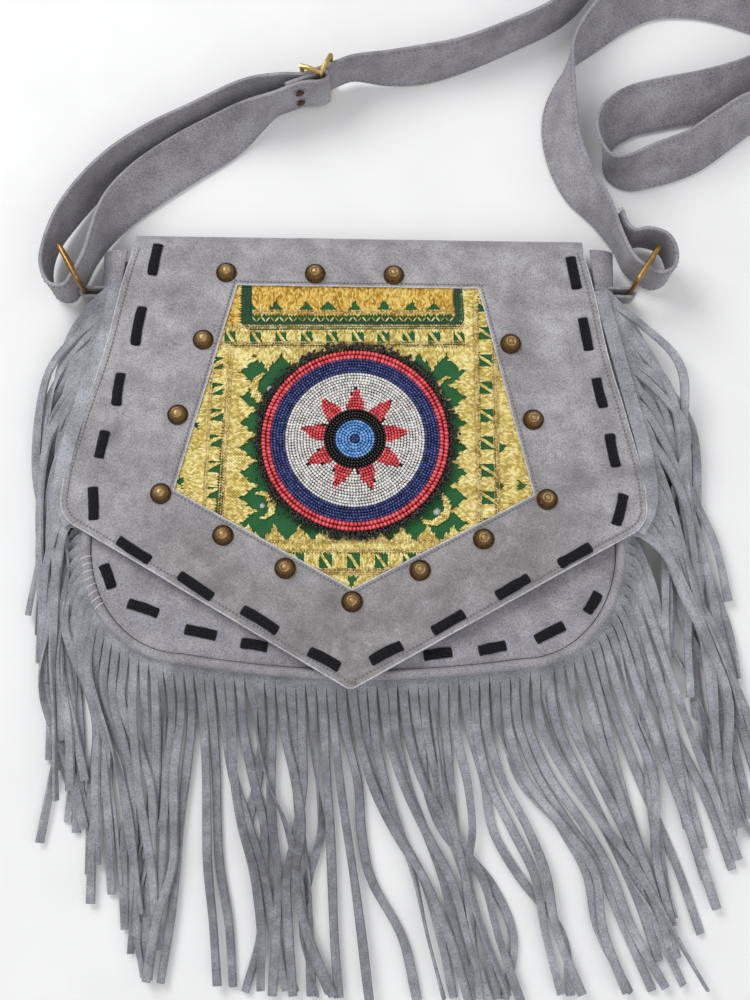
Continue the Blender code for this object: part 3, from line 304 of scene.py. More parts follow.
def thong_material():
    """Dyed suede thong: deep black with a dusty pile, so that it never shines."""
    made, tree, shader = start_material("dyed suede thong", Roughness=1.0, Sheen_Weight=0.12,
                                        Specular_IOR_Level=0.1)
    spot = add_node(tree, "ShaderNodeTexCoord").outputs["Object"]
    pile = add_node(tree, "ShaderNodeTexNoise", {
        "Vector": spot, "Scale": 1 / 0.0009, "Detail": 3.0, "Roughness": 0.7}).outputs["Fac"]
    dye = add_node(tree, "ShaderNodeValToRGB", {"Fac": pile}, ((0.3, "#08080A"), (0.7, "#26262A")))
    tree.links.new(dye.outputs["Color"], shader.inputs["Base Color"])
    relief = add_node(tree, "ShaderNodeBump", {"Height": pile, "Distance": 0.0005, "Strength": 1.0})
    tree.links.new(relief.outputs["Normal"], shader.inputs["Normal"])
    return made


def antique_brass_material(name, dark, bright, roughness=0.38):
    """Cast brass, darkened in a bath and rubbed back: brown in the hollows and yellow on worn edges."""
    made, tree, shader = start_material(name, Metallic=1.0, Roughness=roughness)
    worn = add_node(tree, "ShaderNodeAttribute", attribute_name="wear").outputs["Fac"]
    spot = add_node(tree, "ShaderNodeTexCoord").outputs["Object"]
    blotches = add_node(tree, "ShaderNodeTexNoise", {
        "Vector": spot, "Scale": 1 / 0.0012, "Detail": 3.0, "Roughness": 0.6}).outputs["Fac"]
    shift = add_node(tree, "ShaderNodeMapRange", {
        "Value": blotches, "From Min": 0.3, "From Max": 0.7, "To Min": -0.25, "To Max": 0.25})
    both = add_node(tree, "ShaderNodeMath", {0: worn, 1: shift.outputs["Result"]}, operation="ADD")
    patina = add_node(tree, "ShaderNodeValToRGB", {"Fac": both.outputs[0]}, ((0.1, dark), (0.9, bright)))
    tree.links.new(patina.outputs["Color"], shader.inputs["Base Color"])
    relief = add_node(tree, "ShaderNodeBump", {"Height": blotches, "Distance": 0.00008, "Strength": 1.0})
    tree.links.new(relief.outputs["Normal"], shader.inputs["Normal"])
    return made


def bead_material(name, dark, light, roughness=0.22):
    """Opaque rocaille glass: clean colour, a small hard highlight, each bead a little off its neighbour."""
    made, tree, shader = start_material(name, Roughness=roughness, IOR=1.5, Coat_Weight=0.35,
                                        Coat_Roughness=0.08)
    tone = add_node(tree, "ShaderNodeAttribute", attribute_name="tone").outputs["Fac"]
    glass = add_node(tree, "ShaderNodeValToRGB", {"Fac": tone}, ((0.0, dark), (1.0, light)))
    tree.links.new(glass.outputs["Color"], shader.inputs["Base Color"])
    return made


def metal_thread_material(name, dark, middle, light):
    """Lurex thread: gilt foil wound on a core, part metal and part yellow, glinting stitch by stitch."""
    made, tree, shader = start_material(name, Metallic=0.30, Roughness=0.40, Specular_IOR_Level=0.6)
    tone = add_node(tree, "ShaderNodeAttribute", attribute_name="tone").outputs["Fac"]
    spot = add_node(tree, "ShaderNodeTexCoord").outputs["Object"]
    patches = add_node(tree, "ShaderNodeTexNoise", {"Vector": spot, "Scale": 1 / 0.009}).outputs["Fac"]
    shift = add_node(tree, "ShaderNodeMapRange", {
        "Value": patches, "From Min": 0.3, "From Max": 0.7, "To Min": -0.25, "To Max": 0.25})
    both = add_node(tree, "ShaderNodeMath", {0: tone, 1: shift.outputs["Result"]}, operation="ADD")
    gilt = add_node(tree, "ShaderNodeValToRGB", {"Fac": both.outputs[0]},
                    ((0.0, dark), (0.45, middle), (1.0, light)))
    tree.links.new(gilt.outputs["Color"], shader.inputs["Base Color"])
    return made


def cloth_material(name, dark, light, thread):
    """Plain-woven cotton or satin ground: a fine over-and-under weave that breaks up flat colour."""
    made, tree, shader = start_material(name, Roughness=0.85, Sheen_Weight=0.15)
    spot = add_node(tree, "ShaderNodeTexCoord").outputs["Object"]
    warp, weft = (add_node(tree, "ShaderNodeTexWave", {
        "Vector": spot, "Scale": 1 / thread / (2 * pi), "Distortion": 0.6, "Detail": 1.0,
        "Detail Scale": 2.0,
    }, wave_type="BANDS", bands_direction=direction).outputs["Fac"] for direction in ("X", "Y"))
    weave = add_node(tree, "ShaderNodeMath", {0: warp, 1: weft}, operation="MULTIPLY").outputs[0]
    crumple = add_node(tree, "ShaderNodeTexNoise", {"Vector": spot, "Scale": 1 / 0.006}).outputs["Fac"]
    both = add_node(tree, "ShaderNodeMath", {0: weave, 1: crumple}, operation="ADD").outputs[0]
    spread = add_node(tree, "ShaderNodeMapRange", {"Value": both, "From Min": 0.3, "From Max": 1.2})
    dye = add_node(tree, "ShaderNodeValToRGB", {"Fac": spread.outputs["Result"]},
                   ((0.0, dark), (1.0, light)))
    tree.links.new(dye.outputs["Color"], shader.inputs["Base Color"])
    relief = add_node(tree, "ShaderNodeBump", {"Height": both, "Distance": 0.0002, "Strength": 1.0})
    tree.links.new(relief.outputs["Normal"], shader.inputs["Normal"])
    return made


def thread_material(name, code):
    """Sewing thread: spun polyester with a soft, even surface."""
    made, tree, shader = start_material(name, Roughness=0.7, Sheen_Weight=0.2)
    spot = add_node(tree, "ShaderNodeTexCoord").outputs["Object"]
    twist = add_node(tree, "ShaderNodeTexNoise", {"Vector": spot, "Scale": 1 / 0.0005}).outputs["Fac"]
    light = add_node(tree, "ShaderNodeMix", {0: 0.25, 6: linear(code), 7: (1, 1, 1, 1)}, data_type="RGBA")
    colour = add_node(tree, "ShaderNodeMix", {0: twist, 6: linear(code), 7: light.outputs[2]},
                      data_type="RGBA")
    tree.links.new(colour.outputs[2], shader.inputs["Base Color"])
    return made


FINISHES = {}


def finish(name):
    """Each finish, made the first time that it is asked for."""
    if name in FINISHES:
        return FINISHES[name]
    leather = stored("bag_flap").leather
    makers = {
        "suede": lambda: suede_material("sueded cowhide split", "#8E8C8F", leather, "#B9B7BB"),
        "flap suede": lambda: suede_material("sueded cowhide flap", "#928F92", "#ABA8AB", "#C6C4C7"),
        "fringe suede": lambda: suede_material("sueded fringe strip", "#8F9096", "#A9AAB1", "#C6C8CF",
                                               0.0009),
        "cut edge": lambda: suede_material("raw cut edge", "#C2C1C6", "#D6D5DA", "#E8E8EC"),
        # The strands' undersides get a darker suede: painted shade
        "fringe underside shade": lambda: suede_material("painted shade of the fringe undersides", "#6F6D74", "#85838A", "#98979F"),
        "lining suede": lambda: suede_material("pigskin lining", "#6B6362", "#7A7272", "#8A8180"),
        "thong": thong_material,
        "brass": lambda: antique_brass_material("antiqued cast brass", "#57422A", "#BC9C6A", 0.46),
        "pale brass": lambda: antique_brass_material("lacquered brass wire", "#8E6A2C", "#E8C77A", 0.28),
        "ring brass": lambda: antique_brass_material("antiqued brass wire", "#5E4220", "#C49A58", 0.34),
        "red": lambda: bead_material("red rocaille glass", "#D63A40", "#F4656A"),
        "navy": lambda: bead_material("navy rocaille glass", "#262E63", "#47528F"),
        "white": lambda: bead_material("chalk white rocaille glass", "#DAD6D0", "#F6F4F0"),
        "black": lambda: bead_material("jet black rocaille glass", "#050505", "#14120E", 0.12),
        "blue": lambda: bead_material("sky blue rocaille glass", "#4A8AD6", "#86BDF2"),
        "gold": lambda: metal_thread_material("gilt lurex thread", "#C0A655", stored("bag_embroidery").gold,
                                              "#FAF0B4"),
        "deep gold": lambda: metal_thread_material("deep gilt lurex thread", "#B4842A", "#DDB54A",
                                                   "#F3DC84"),
        "cord": lambda: metal_thread_material("couched gilt cord", "#9C8040", "#CDB36E", "#EFDFA8"),
        "green": lambda: cloth_material("green satin ground", "#124A22", stored("bag_embroidery").cloth,
                                        0.0006),
        "tape": lambda: cloth_material("green binding tape", "#163F26", "#2C5E3C", 0.0009),
        # The mirrors are a pale matt cloth: a painted reflection
        "mirror painted reflection": lambda: cloth_material("painted reflection of the mirrors", "#A9A6A2", "#D2CFCC", 0.0006),
        "felt": lambda: cloth_material("black backing felt", "#0B0B0D", "#1C1B1F", 0.0008),
        "lining cloth": lambda: cloth_material("charcoal lining cotton", "#26252B", "#3A3940", 0.0008),
        "red thread": lambda: thread_material("red cotton thread", "#B5331F"),
        "grey thread": lambda: thread_material("grey polyester thread", "#8C8990"),
        "pale thread": lambda: thread_material("pale polyester thread", "#C9C7CB"),
        "hole": lambda: thread_material("shadowed needle hole", "#3B383D"),
        "snap": lambda: antique_brass_material("brass snap", "#6B5330", "#B49A66"),
    }
    FINISHES[name] = makers[name]()
    return FINISHES[name]


# Mesh helpers

def link(name, mesh, *finishes):
    """A piece at the origin, with its finishes in its slots."""
    piece = bpy.data.objects.new(name, mesh)
    bpy.context.scene.collection.objects.link(piece)
    mesh.materials.clear()
    for each in finishes:
        mesh.materials.append(finish(each))
    return piece


def mesh_of(name, points, faces, slots=None, smooth=True):
    """A mesh from points and faces, with its normals out and its hard edges marked."""
    mesh = bpy.data.meshes.new(name)
    mesh.from_pydata([tuple(p) for p in points], [], [tuple(int(i) for i in f) for f in faces])
    if slots is not None:
        mesh.polygons.foreach_set("material_index", np.array(slots, np.int32))
    shape = bmesh.new()
    shape.from_mesh(mesh)
    bmesh.ops.recalc_face_normals(shape, faces=shape.faces)
    shape.to_mesh(mesh)
    shape.free()
    mesh.polygons.foreach_set("use_smooth", [smooth] * len(mesh.polygons))
    mesh.set_sharp_from_angle(angle=radians(45))
    return mesh


def tube(line, radius, sides=10, ring=False, squash=1.0):
    """Points and faces of a round rod through points, closed on itself or with capped ends."""
    line = [Vector(p) for p in line]
    count = len(line)
    points, faces, normal = [], [], None
    for i in range(count):
        before = line[(i - 1) % count] if ring else line[max(0, i - 1)]
        after = line[(i + 1) % count] if ring else line[min(count - 1, i + 1)]
        tangent = (after - before).normalized()
        normal = normal or tangent.orthogonal()
        normal = (normal - tangent * normal.dot(tangent)).normalized()
        side = tangent.cross(normal)
        for a in np.linspace(0, 2 * pi, sides + 1)[:-1]:
            points.append(line[i] + (normal * cos(a) + side * sin(a) * squash) * radius)
    for i in range(count if ring else count - 1):
        for j in range(sides):
            a, b = i * sides + j, i * sides + (j + 1) % sides
            c, d = (b + sides) % len(points), (a + sides) % len(points)
            faces.append((a, b, c, d))
    if not ring:
        faces.append(tuple(range(sides)))
        faces.append(tuple(range(len(points) - sides, len(points))))
    return points, faces


def joined(parts):
    """Several (points, faces) as one pair."""
    points, faces = [], []
    for more, shape in parts:
        faces += [tuple(i + len(points) for i in f) for f in shape]
        points += list(more)
    return points, faces


def skin(rows, sides, start=0):
    """Faces between rows of points, where each row is a closed loop."""
    faces = []
    for i in range(rows - 1):
        for j in range(sides):
            a, b = start + i * sides + j, start + i * sides + (j + 1) % sides
            faces.append((a, b, b + sides, a + sides))
    return faces


def capped(points, sides):
    """Faces of a closed body made of rows of points, with one more face over each end."""
    ends = [tuple(range(sides)), tuple(range(len(points) - sides, len(points)))]
    return skin(len(points) // sides, sides) + ends


def even_wear(mesh, share):
    """The same rubbed-back share all over a brass mesh."""
    rub = mesh.attributes.new("wear", "FLOAT", "POINT")
    rub.data.foreach_set("value", np.full(len(mesh.vertices), share, np.float32))


def smooth_line(points, steps=6):
    """A smooth curve through points of any dimension."""
    knots = np.array(points, float)
    ends = np.vstack([2 * knots[0] - knots[1], knots, 2 * knots[-1] - knots[-2]])
    fine = []
    for i in range(1, len(ends) - 2):
        p0, p1, p2, p3 = ends[i - 1:i + 3]
        for t in np.linspace(0, 1, steps, endpoint=False):
            fine.append(0.5 * (2 * p1 + (p2 - p0) * t + (2 * p0 - 5 * p1 + 4 * p2 - p3) * t**2
                               + (3 * p1 - p0 - 3 * p2 + p3) * t**3))
    fine.append(knots[-1])
    return np.array(fine)


def evenly(points, spacing):
    """Points at even steps along an open line."""
    line = np.array(points, float)
    run = np.concatenate([[0], np.cumsum(np.linalg.norm(np.diff(line, axis=0), axis=1))])
    at = np.linspace(0, run[-1], max(2, int(round(run[-1] / spacing)) + 1))
    return np.stack([np.interp(at, run, line[:, k]) for k in range(line.shape[1])], axis=1)


def ease(value):
    """A share that starts and ends gently, from 0 to 1."""
    t = np.clip(value, 0.0, 1.0)
    return t * t * (3 - 2 * t)


def inset_line(points, inset):
    """The same line, moved to the right of its direction of travel."""
    line = np.array(points, float)
    step = np.gradient(line, axis=0)
    step /= np.linalg.norm(step, axis=1)[:, None]
    return line + inset * np.stack([step[:, 1], -step[:, 0]], axis=1)


def both_sides(right):
    """A closed outline from its right-hand half."""
    return right + [(-x, y) for x, y in reversed(right) if x > 1e-6]


def cut_sheet(name, outlines, low, high, place, spacing):
    """A sheet cut to its outlines between two depths, gridded so that it can sag, then put in place."""
    curve = bpy.data.curves.new(name, "CURVE")
    curve.dimensions = "2D"
    curve.fill_mode = "BOTH"
    curve.extrude = (high - low) / 2
    for outline in outlines:
        spline = curve.splines.new("POLY")
        spline.points.add(len(outline) - 1)
        for point, (x, y) in zip(spline.points, outline):
            point.co = (x, y, 0.0, 1.0)
        spline.use_cyclic_u = True
    flat = bpy.data.objects.new(name + "_flat", curve)
    bpy.context.scene.collection.objects.link(flat)
    mesh = bpy.data.meshes.new_from_object(flat)
    bpy.data.objects.remove(flat, do_unlink=True)
    shape = bmesh.new()
    shape.from_mesh(mesh)
    bmesh.ops.remove_doubles(shape, verts=shape.verts, dist=1e-6)
    corners = np.array([v.co for v in shape.verts])
    for axis in (0, 1):
        normal = (1, 0, 0) if axis == 0 else (0, 1, 0)
        for at in np.arange(corners[:, axis].min() + spacing / 2, corners[:, axis].max(), spacing):
            geometry = shape.verts[:] + shape.edges[:] + shape.faces[:]
            spot = (at, 0, 0) if axis == 0 else (0, at, 0)
            bmesh.ops.bisect_plane(shape, geom=geometry, dist=1e-6, plane_co=spot, plane_no=normal)
    shape.normal_update()
    for face in shape.faces:
        face.material_index = int(abs(face.normal.z) < 0.5)
        face.smooth = True
    middle = (low + high) / 2
    for vert in shape.verts:
        vert.co = place(vert.co.x, vert.co.y, vert.co.z + middle)
    bmesh.ops.recalc_face_normals(shape, faces=shape.faces)
    shape.to_mesh(mesh)
    shape.free()
    mesh.name = name
    mesh.set_sharp_from_angle(angle=radians(50))
    return mesh


# Where things are on the bag

def on_flap_plane(x, up, height):
    """A point of the flap: up is minus the distance below the fold, and height is above the outer face."""
    radius = FLAP_FOLD_RADIUS + height
    if up <= 0:
        start = Vector((0, FOLD_Y + radius * sin(FLAP_SLOPE), FOLD_Z + radius * cos(FLAP_SLOPE)))
        return Vector((x, 0, 0)) + start + Vector((0, cos(FLAP_SLOPE), -sin(FLAP_SLOPE))) * up
    turn = up / FLAP_FOLD_RADIUS
    full = pi - FLAP_SLOPE
    growth = (BACK_FOLD_RADIUS - FLAP_FOLD_RADIUS) * ease(turn / full)
    angle = pi / 2 - FLAP_SLOPE - turn
    radius += growth
    return Vector((x, FOLD_Y + radius * cos(angle), FOLD_Z + radius * sin(angle)))


def line_distance(x, down, first, second):
    """Distance of a place of the flap from a straight line."""
    ax, ay = first
    bx, by = second
    length = hypot(bx - ax, by - ay)
    share = np.clip(((x - ax) * (bx - ax) + (down - ay) * (by - ay)) / length**2, 0, 1)
    return hypot(x - ax - share * (bx - ax), down - ay - share * (by - ay))


def flap_relief(x, down):
    """Height of the worn flap over its flat shape: low corners, a ridge beside the window and ripples."""
    side = abs(x)
    sag = -stored("bag_flap").corner_sag * ease((side - 0.112) / 0.045) * ease((down - 0.02) / 0.10)
    low_edge = line_distance(side, down, WINDOW[1], WINDOW[2])
    side_edge = line_distance(side, down, WINDOW[0], WINDOW[1])
    outside = down > WINDOW[1][1] + (WINDOW[1][0] - side) * 0.545 or down > WINDOW[2][1]
    ridge = 0.0020 * np.exp(-((low_edge - 0.017) / 0.0048) ** 2) if outside else 0.0
    hollow = -0.0010 * np.exp(-((low_edge - 0.028) / 0.005) ** 2) if outside else 0.0
    fade = 1 - ease((side - 0.085) / 0.03)
    hem = 0.0004 * np.exp(-(min(low_edge, side_edge) / 0.007) ** 2)
    ripple = 0.00035 * sin(x * 210 + down * 60) * sin(down * 140 + 0.7)
    pull = 0.0008 * np.exp(-(((x - 0.070) / 0.020) ** 2 + ((down - 0.012) / 0.012) ** 2))
    pull *= sin(x * 900 + down * 400)
    crease = -0.0006 * np.exp(-((down - 0.1085 - 0.12 * (x + 0.12)) / 0.003) ** 2)
    crease *= ease((-x - 0.094) / 0.012)
    return sag + (ridge + hollow) * fade + hem + ripple + pull + crease


def on_flap(x, up, height):
    """The same as the plane, on the leather as it lies."""
    relief = flap_relief(x, -up) * ease(-up / 0.02) if up < 0 else 0.0
    return on_flap_plane(x, up, height + relief)


def flap_half():
    """The right-hand edge of the flap, from its fold to its point, as (x, up)."""
    x, down = FLAP_SIDE[-1]
    slope = atan2(FLAP_POINT_RISE, x - FLAP_CORNER_RADIUS)
    centre = (x - FLAP_CORNER_RADIUS, -down)
    turn = np.linspace(0, -(pi / 2 - slope), 10)
    corner = [
        (centre[0] + FLAP_CORNER_RADIUS * cos(a), centre[1] + FLAP_CORNER_RADIUS * sin(a)) for a in turn]
    side = smooth_line([(FLAP_TOP_HALF, 0.0)] + [(x, -d) for x, d in FLAP_SIDE[:-1]] + [corner[0]], 6)
    to_point = np.linspace(corner[-1], (0.0, -FLAP_LENGTH), 14)[1:]
    return [tuple(p) for p in side[:-1]] + corner + [tuple(p) for p in to_point]


def window_outline(grow=0.0):
    """The window's five corners, grown outwards."""
    corners = both_sides([(x, -down) for x, down in WINDOW])
    middle = Vector((0.0, -0.105))
    moved = []
    for corner in corners:
        away = (Vector(corner) - middle).normalized()
        moved.append(tuple(Vector(corner) + away * grow * 1.25))
    return moved


def flap_surface(y):
    """Height of the flap's outer face where it lies flat."""
    start = on_flap_plane(0, 0, 0)
    return start.z + (start.y - y) * np.tan(FLAP_SLOPE)


def body_height(y, depth):
    """Height of a layer of the body that lies a depth under the flap's outer face."""
    return flap_surface(y) - depth / cos(FLAP_SLOPE)


def body_half(outset=0.0, fine=1):
    """The right-hand edge of the body, from the mouth to the bottom's middle."""
    points = [(BODY_TOP_HALF, BODY_TOP)]
    for share in np.linspace(0, 1, 3 * fine + 1)[1:]:
        points.append((BODY_TOP_HALF + (BODY_LOW_HALF - BODY_TOP_HALF) * share,
                       BODY_TOP + (BODY_CORNER - BODY_TOP) * share))
    centre = (BODY_LOW_HALF - BODY_CORNER_WIDTH, BODY_CORNER)
    drop = BODY_CORNER - BODY_BOTTOM_SIDE
    for angle in np.linspace(0, -pi / 2, 7 * fine + 1)[1:]:
        points.append((centre[0] + BODY_CORNER_WIDTH * cos(angle), centre[1] + drop * sin(angle)))
    for share in np.linspace(1, 0, 4 * fine + 1)[1:]:
        sag = (BODY_BOTTOM - BODY_BOTTOM_SIDE) * (1 - share * share)
        points.append((centre[0] * share, BODY_BOTTOM_SIDE + sag))
    if outset:
        moved = inset_line(points, -outset)
        moved[0, 1] = points[0][1]
        moved[-1, 0] = 0.0
        points = [tuple(p) for p in moved]
    return points


def body_line(outset, fine=4):
    """The body's edge as one open line from the left mouth round the bottom to the right mouth."""
    half = body_half(outset, fine)
    return [(-x, y) for x, y in half] + [(x, y) for x, y in reversed(half[:-1])]


def on_front(x, y, height):
    """A point of the front panel, which is full in the middle and dips to its seam."""
    edge = min(BODY_LOW_HALF - abs(x), y - BODY_BOTTOM, 0.03)
    dip = -0.0010 * (1 - ease(edge / 0.010))
    ripple = 0.0004 * sin(x * 120 + y * 50) * sin(y * 95 - 1.0)
    return Vector((x, y, body_height(y, FRONT_DEPTH) + height + dip + ripple))


# Geometry Nodes trees

def new_tree(name, inputs):
    """An empty geometry tree with its named inputs, and its two ends."""
    tree = bpy.data.node_groups.new(name, "GeometryNodeTree")
    tree.interface.new_socket("Geometry", in_out="INPUT", socket_type="NodeSocketGeometry")
    for label, kind, default in inputs:
        socket = tree.interface.new_socket(label, in_out="INPUT", socket_type=kind)
        if default is not None:
            socket.default_value = default
    tree.interface.new_socket("Geometry", in_out="OUTPUT", socket_type="NodeSocketGeometry")
    return tree, add_node(tree, "NodeGroupInput"), add_node(tree, "NodeGroupOutput")


def close_tree(tree, end, shape, material):
    """Realises the instances, smooths them and sets their material."""
    real = add_node(tree, "GeometryNodeRealizeInstances", {"Geometry": shape})
    soft = add_node(tree, "GeometryNodeSetShadeSmooth", {"Geometry": real.outputs[0]})
    done = add_node(tree, "GeometryNodeSetMaterial", {"Geometry": soft.outputs[0], "Material": material})
    tree.links.new(done.outputs[0], end.inputs[0])


def toned(tree, instances, seed):
    """Stores a random tone on each instance, which the material reads."""
    tone = add_node(tree, "FunctionNodeRandomValue", {"Seed": seed}, data_type="FLOAT")
    store = add_node(tree, "GeometryNodeStoreNamedAttribute", {"Geometry": instances, "Name": "tone"},
                     data_type="FLOAT", domain="INSTANCE")
    tree.links.new(tone.outputs[1], store.inputs["Value"])
    return store.outputs[0]


def stamp_tree(kind):
    """Sets one small shape on every point, turned and sized by the points' own attributes."""
    name = "Stamp " + kind
    if name in bpy.data.node_groups:
        return bpy.data.node_groups[name]
    tree, start, end = new_tree(name, (
        ("Unevenness", "NodeSocketFloat", 0.08), ("Seed", "NodeSocketInt", 1),
        ("Material", "NodeSocketMaterial", None)))
    if kind == "bead":
        path = add_node(tree, "GeometryNodeCurvePrimitiveCircle", {"Resolution": 7, "Radius": 0.30})
        wall = add_node(tree, "GeometryNodeCurvePrimitiveCircle", {"Resolution": 5, "Radius": 0.26})
        ring = add_node(tree, "GeometryNodeCurveToMesh",
                        {"Curve": path.outputs[0], "Profile Curve": wall.outputs[0]})
        shape = add_node(tree, "GeometryNodeTransform", {
            "Geometry": ring.outputs[0], "Rotation": (0, pi / 2, 0), "Scale": (0.88, 0.88, 1.8)}).outputs[0]
    else:
        shape = add_node(tree, "GeometryNodeMeshIcoSphere",
                         {"Radius": 0.5, "Subdivisions": 1}).outputs["Mesh"]
    turn = add_node(tree, "GeometryNodeInputNamedAttribute", {"Name": "turn"}, data_type="FLOAT_VECTOR")
    size = add_node(tree, "GeometryNodeInputNamedAttribute", {"Name": "size"}, data_type="FLOAT_VECTOR")
    chance = add_node(tree, "FunctionNodeRandomValue", {"Seed": start.outputs["Seed"]}, data_type="FLOAT")
    share = add_node(tree, "ShaderNodeMapRange", {"Value": chance.outputs[1]})
    less = add_node(tree, "ShaderNodeMath", {0: 1.0, 1: start.outputs["Unevenness"]}, operation="SUBTRACT")
    more = add_node(tree, "ShaderNodeMath", {0: 1.0, 1: start.outputs["Unevenness"]}, operation="ADD")
    tree.links.new(less.outputs[0], share.inputs["To Min"])
    tree.links.new(more.outputs[0], share.inputs["To Max"])
    grown = add_node(tree, "ShaderNodeVectorMath", {0: size.outputs[0]}, operation="SCALE")
    tree.links.new(share.outputs[0], grown.inputs["Scale"])
    spin = add_node(tree, "FunctionNodeEulerToRotation", {0: turn.outputs[0]})
    stamped = add_node(tree, "GeometryNodeInstanceOnPoints", {
        "Points": start.outputs["Geometry"], "Instance": shape, "Rotation": spin.outputs[0],
        "Scale": grown.outputs[0]})
    close_tree(tree, end, toned(tree, stamped.outputs[0], start.outputs["Seed"]), start.outputs["Material"])
    return tree


def seam_tree():
    """Machine sewing along lines: a thread that dips at each needle hole, and the dark holes between."""
    name = "Machine seam"
    if name in bpy.data.node_groups:
        return bpy.data.node_groups[name]
    tree, start, end = new_tree(name, (
        ("Pitch", "NodeSocketFloat", 0.0021), ("Thread", "NodeSocketFloat", 0.0005),
        ("Hole", "NodeSocketFloat", 0.0006),
        ("Seed", "NodeSocketInt", 1), ("Material", "NodeSocketMaterial", None),
        ("Hole material", "NodeSocketMaterial", None)))
    curve = add_node(tree, "GeometryNodeMeshToCurve", {"Mesh": start.outputs["Geometry"]})
    even = add_node(tree, "GeometryNodeResampleCurve",
                    {"Curve": curve.outputs[0], "Length": start.outputs["Pitch"]},
                    mode="LENGTH")
    tangent = add_node(tree, "GeometryNodeInputTangent")
    turn = add_node(tree, "FunctionNodeAlignRotationToVector", {"Vector": tangent.outputs[0]}, axis="X")
    made = []
    for along, across, height, slot in (
        (0.78, "Thread", 0.7, "Material"), (None, "Hole", 0.5, "Hole material"),
    ):
        grainy = add_node(tree, "GeometryNodeMeshIcoSphere", {"Radius": 0.5, "Subdivisions": 1})
        size = add_node(tree, "ShaderNodeCombineXYZ", {"Y": start.outputs[across]})
        tall = add_node(tree, "ShaderNodeMath", {0: start.outputs[across], 1: height}, operation="MULTIPLY")
        tree.links.new(tall.outputs[0], size.inputs["Z"])
        spots = even.outputs[0]
        if along:
            long = add_node(tree, "ShaderNodeMath", {0: start.outputs["Pitch"], 1: along},
                            operation="MULTIPLY")
            tree.links.new(long.outputs[0], size.inputs["X"])
        else:
            tree.links.new(start.outputs[across], size.inputs["X"])
            half = add_node(tree, "ShaderNodeMath", {0: start.outputs["Pitch"], 1: 0.5},
                            operation="MULTIPLY")
            shift = add_node(tree, "ShaderNodeVectorMath", {0: tangent.outputs[0]}, operation="SCALE")
            tree.links.new(half.outputs[0], shift.inputs["Scale"])
            spots = add_node(tree, "GeometryNodeSetPosition",
                             {"Geometry": spots, "Offset": shift.outputs[0]}).outputs[0]
        stamped = add_node(tree, "GeometryNodeInstanceOnPoints", {
            "Points": spots, "Instance": grainy.outputs["Mesh"], "Rotation": turn.outputs[0],
            "Scale": size.outputs[0]})
        real = add_node(tree, "GeometryNodeRealizeInstances", {
            "Geometry": toned(tree, stamped.outputs[0], start.outputs["Seed"])})
        made.append(add_node(tree, "GeometryNodeSetMaterial", {
            "Geometry": real.outputs[0], "Material": start.outputs[slot]}))
    both = add_node(tree, "GeometryNodeJoinGeometry")
    for each in made:
        tree.links.new(each.outputs[0], both.inputs[0])
    soft = add_node(tree, "GeometryNodeSetShadeSmooth", {"Geometry": both.outputs[0]})
    tree.links.new(soft.outputs[0], end.inputs[0])
    return tree


def grown_from(name, mesh, tree, values):
    """The plain mesh that a tree makes from a mesh, as a finished piece."""
    holder = bpy.data.objects.new(name + "_points", mesh)
    bpy.context.scene.collection.objects.link(holder)
    modifier = holder.modifiers.new("build", "NODES")
    modifier.node_group = tree
    sockets = {s.name: s.identifier for s in tree.interface.items_tree if s.in_out == "INPUT"}
    for label, value in values.items():
        modifier[sockets[label]] = value
    graph = bpy.context.evaluated_depsgraph_get()
    made = bpy.data.meshes.new_from_object(holder.evaluated_get(graph), depsgraph=graph)
    bpy.data.objects.remove(holder, do_unlink=True)
    made.name = name
    # The tree leaves an empty slot first, which would come out as a material with no name
    kept = [m for m in made.materials if m]
    spare = len(made.materials) - len(kept)
    places = np.zeros(len(made.polygons), np.int32)
    made.polygons.foreach_get("material_index", places)
    made.materials.clear()
    for material in kept:
        made.materials.append(material)
    made.polygons.foreach_set("material_index", np.maximum(places - spare, 0).astype(np.int32))
    piece = bpy.data.objects.new(name, made)
    bpy.context.scene.collection.objects.link(piece)
    return piece


def stamped(name, kind, spots, material, seed=1, unevenness=0.08):
    """A piece from (place, turn matrix, size) spots, one small shape for each."""
    mesh = bpy.data.meshes.new(name + "_spots")
    mesh.from_pydata([tuple(s[0]) for s in spots], [], [])
    turn = mesh.attributes.new("turn", "FLOAT_VECTOR", "POINT")
    turn.data.foreach_set("vector", np.array([tuple(s[1].to_euler()) for s in spots], np.float32).ravel())
    size = mesh.attributes.new("size", "FLOAT_VECTOR", "POINT")
    size.data.foreach_set("vector", np.array([s[2] for s in spots], np.float32).ravel())
    return grown_from(name, mesh, stamp_tree(kind), {
        "Unevenness": unevenness, "Seed": seed, "Material": finish(material)})


def sewn(name, lines, thread="grey thread", pitch=None, width=0.0005, hole=0.00065):
    """A piece of machine sewing along lines of points."""
    points, edges = [], []
    for line in lines:
        edges += [(len(points) + i, len(points) + i + 1) for i in range(len(line) - 1)]
        points += [tuple(p) for p in line]
    mesh = bpy.data.meshes.new(name + "_lines")
    mesh.from_pydata(points, edges, [])
    return grown_from(name, mesh, seam_tree(), {
        "Pitch": pitch or stored("bag_flap").stitch_pitch, "Thread": width, "Hole": hole, "Seed": 3,
        "Material": finish(thread), "Hole material": finish("hole")})


def flap_turn(angle=0.0, lean=0.0):
    """The turn of a small shape lying on the flap, its length at an angle from the row's X."""
    return Matrix.Rotation(-FLAP_SLOPE, 3,
                           "X") @ Matrix.Rotation(angle, 3, "Z") @ Matrix.Rotation(lean, 3, "Y")


def put(piece, body, slot, *nodes):
    """Fixes a finished piece to a body, in place of its CAD nodes."""
    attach(piece, body)
    if nodes:
        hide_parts(*nodes)
    return piece


def fold_with_flap(piece, slot, *nodes):
    """Leather that rolls over the fold: its place is baked into its mesh, and its CAD nodes are hidden."""
    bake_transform(piece)
    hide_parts(*nodes)
    return piece


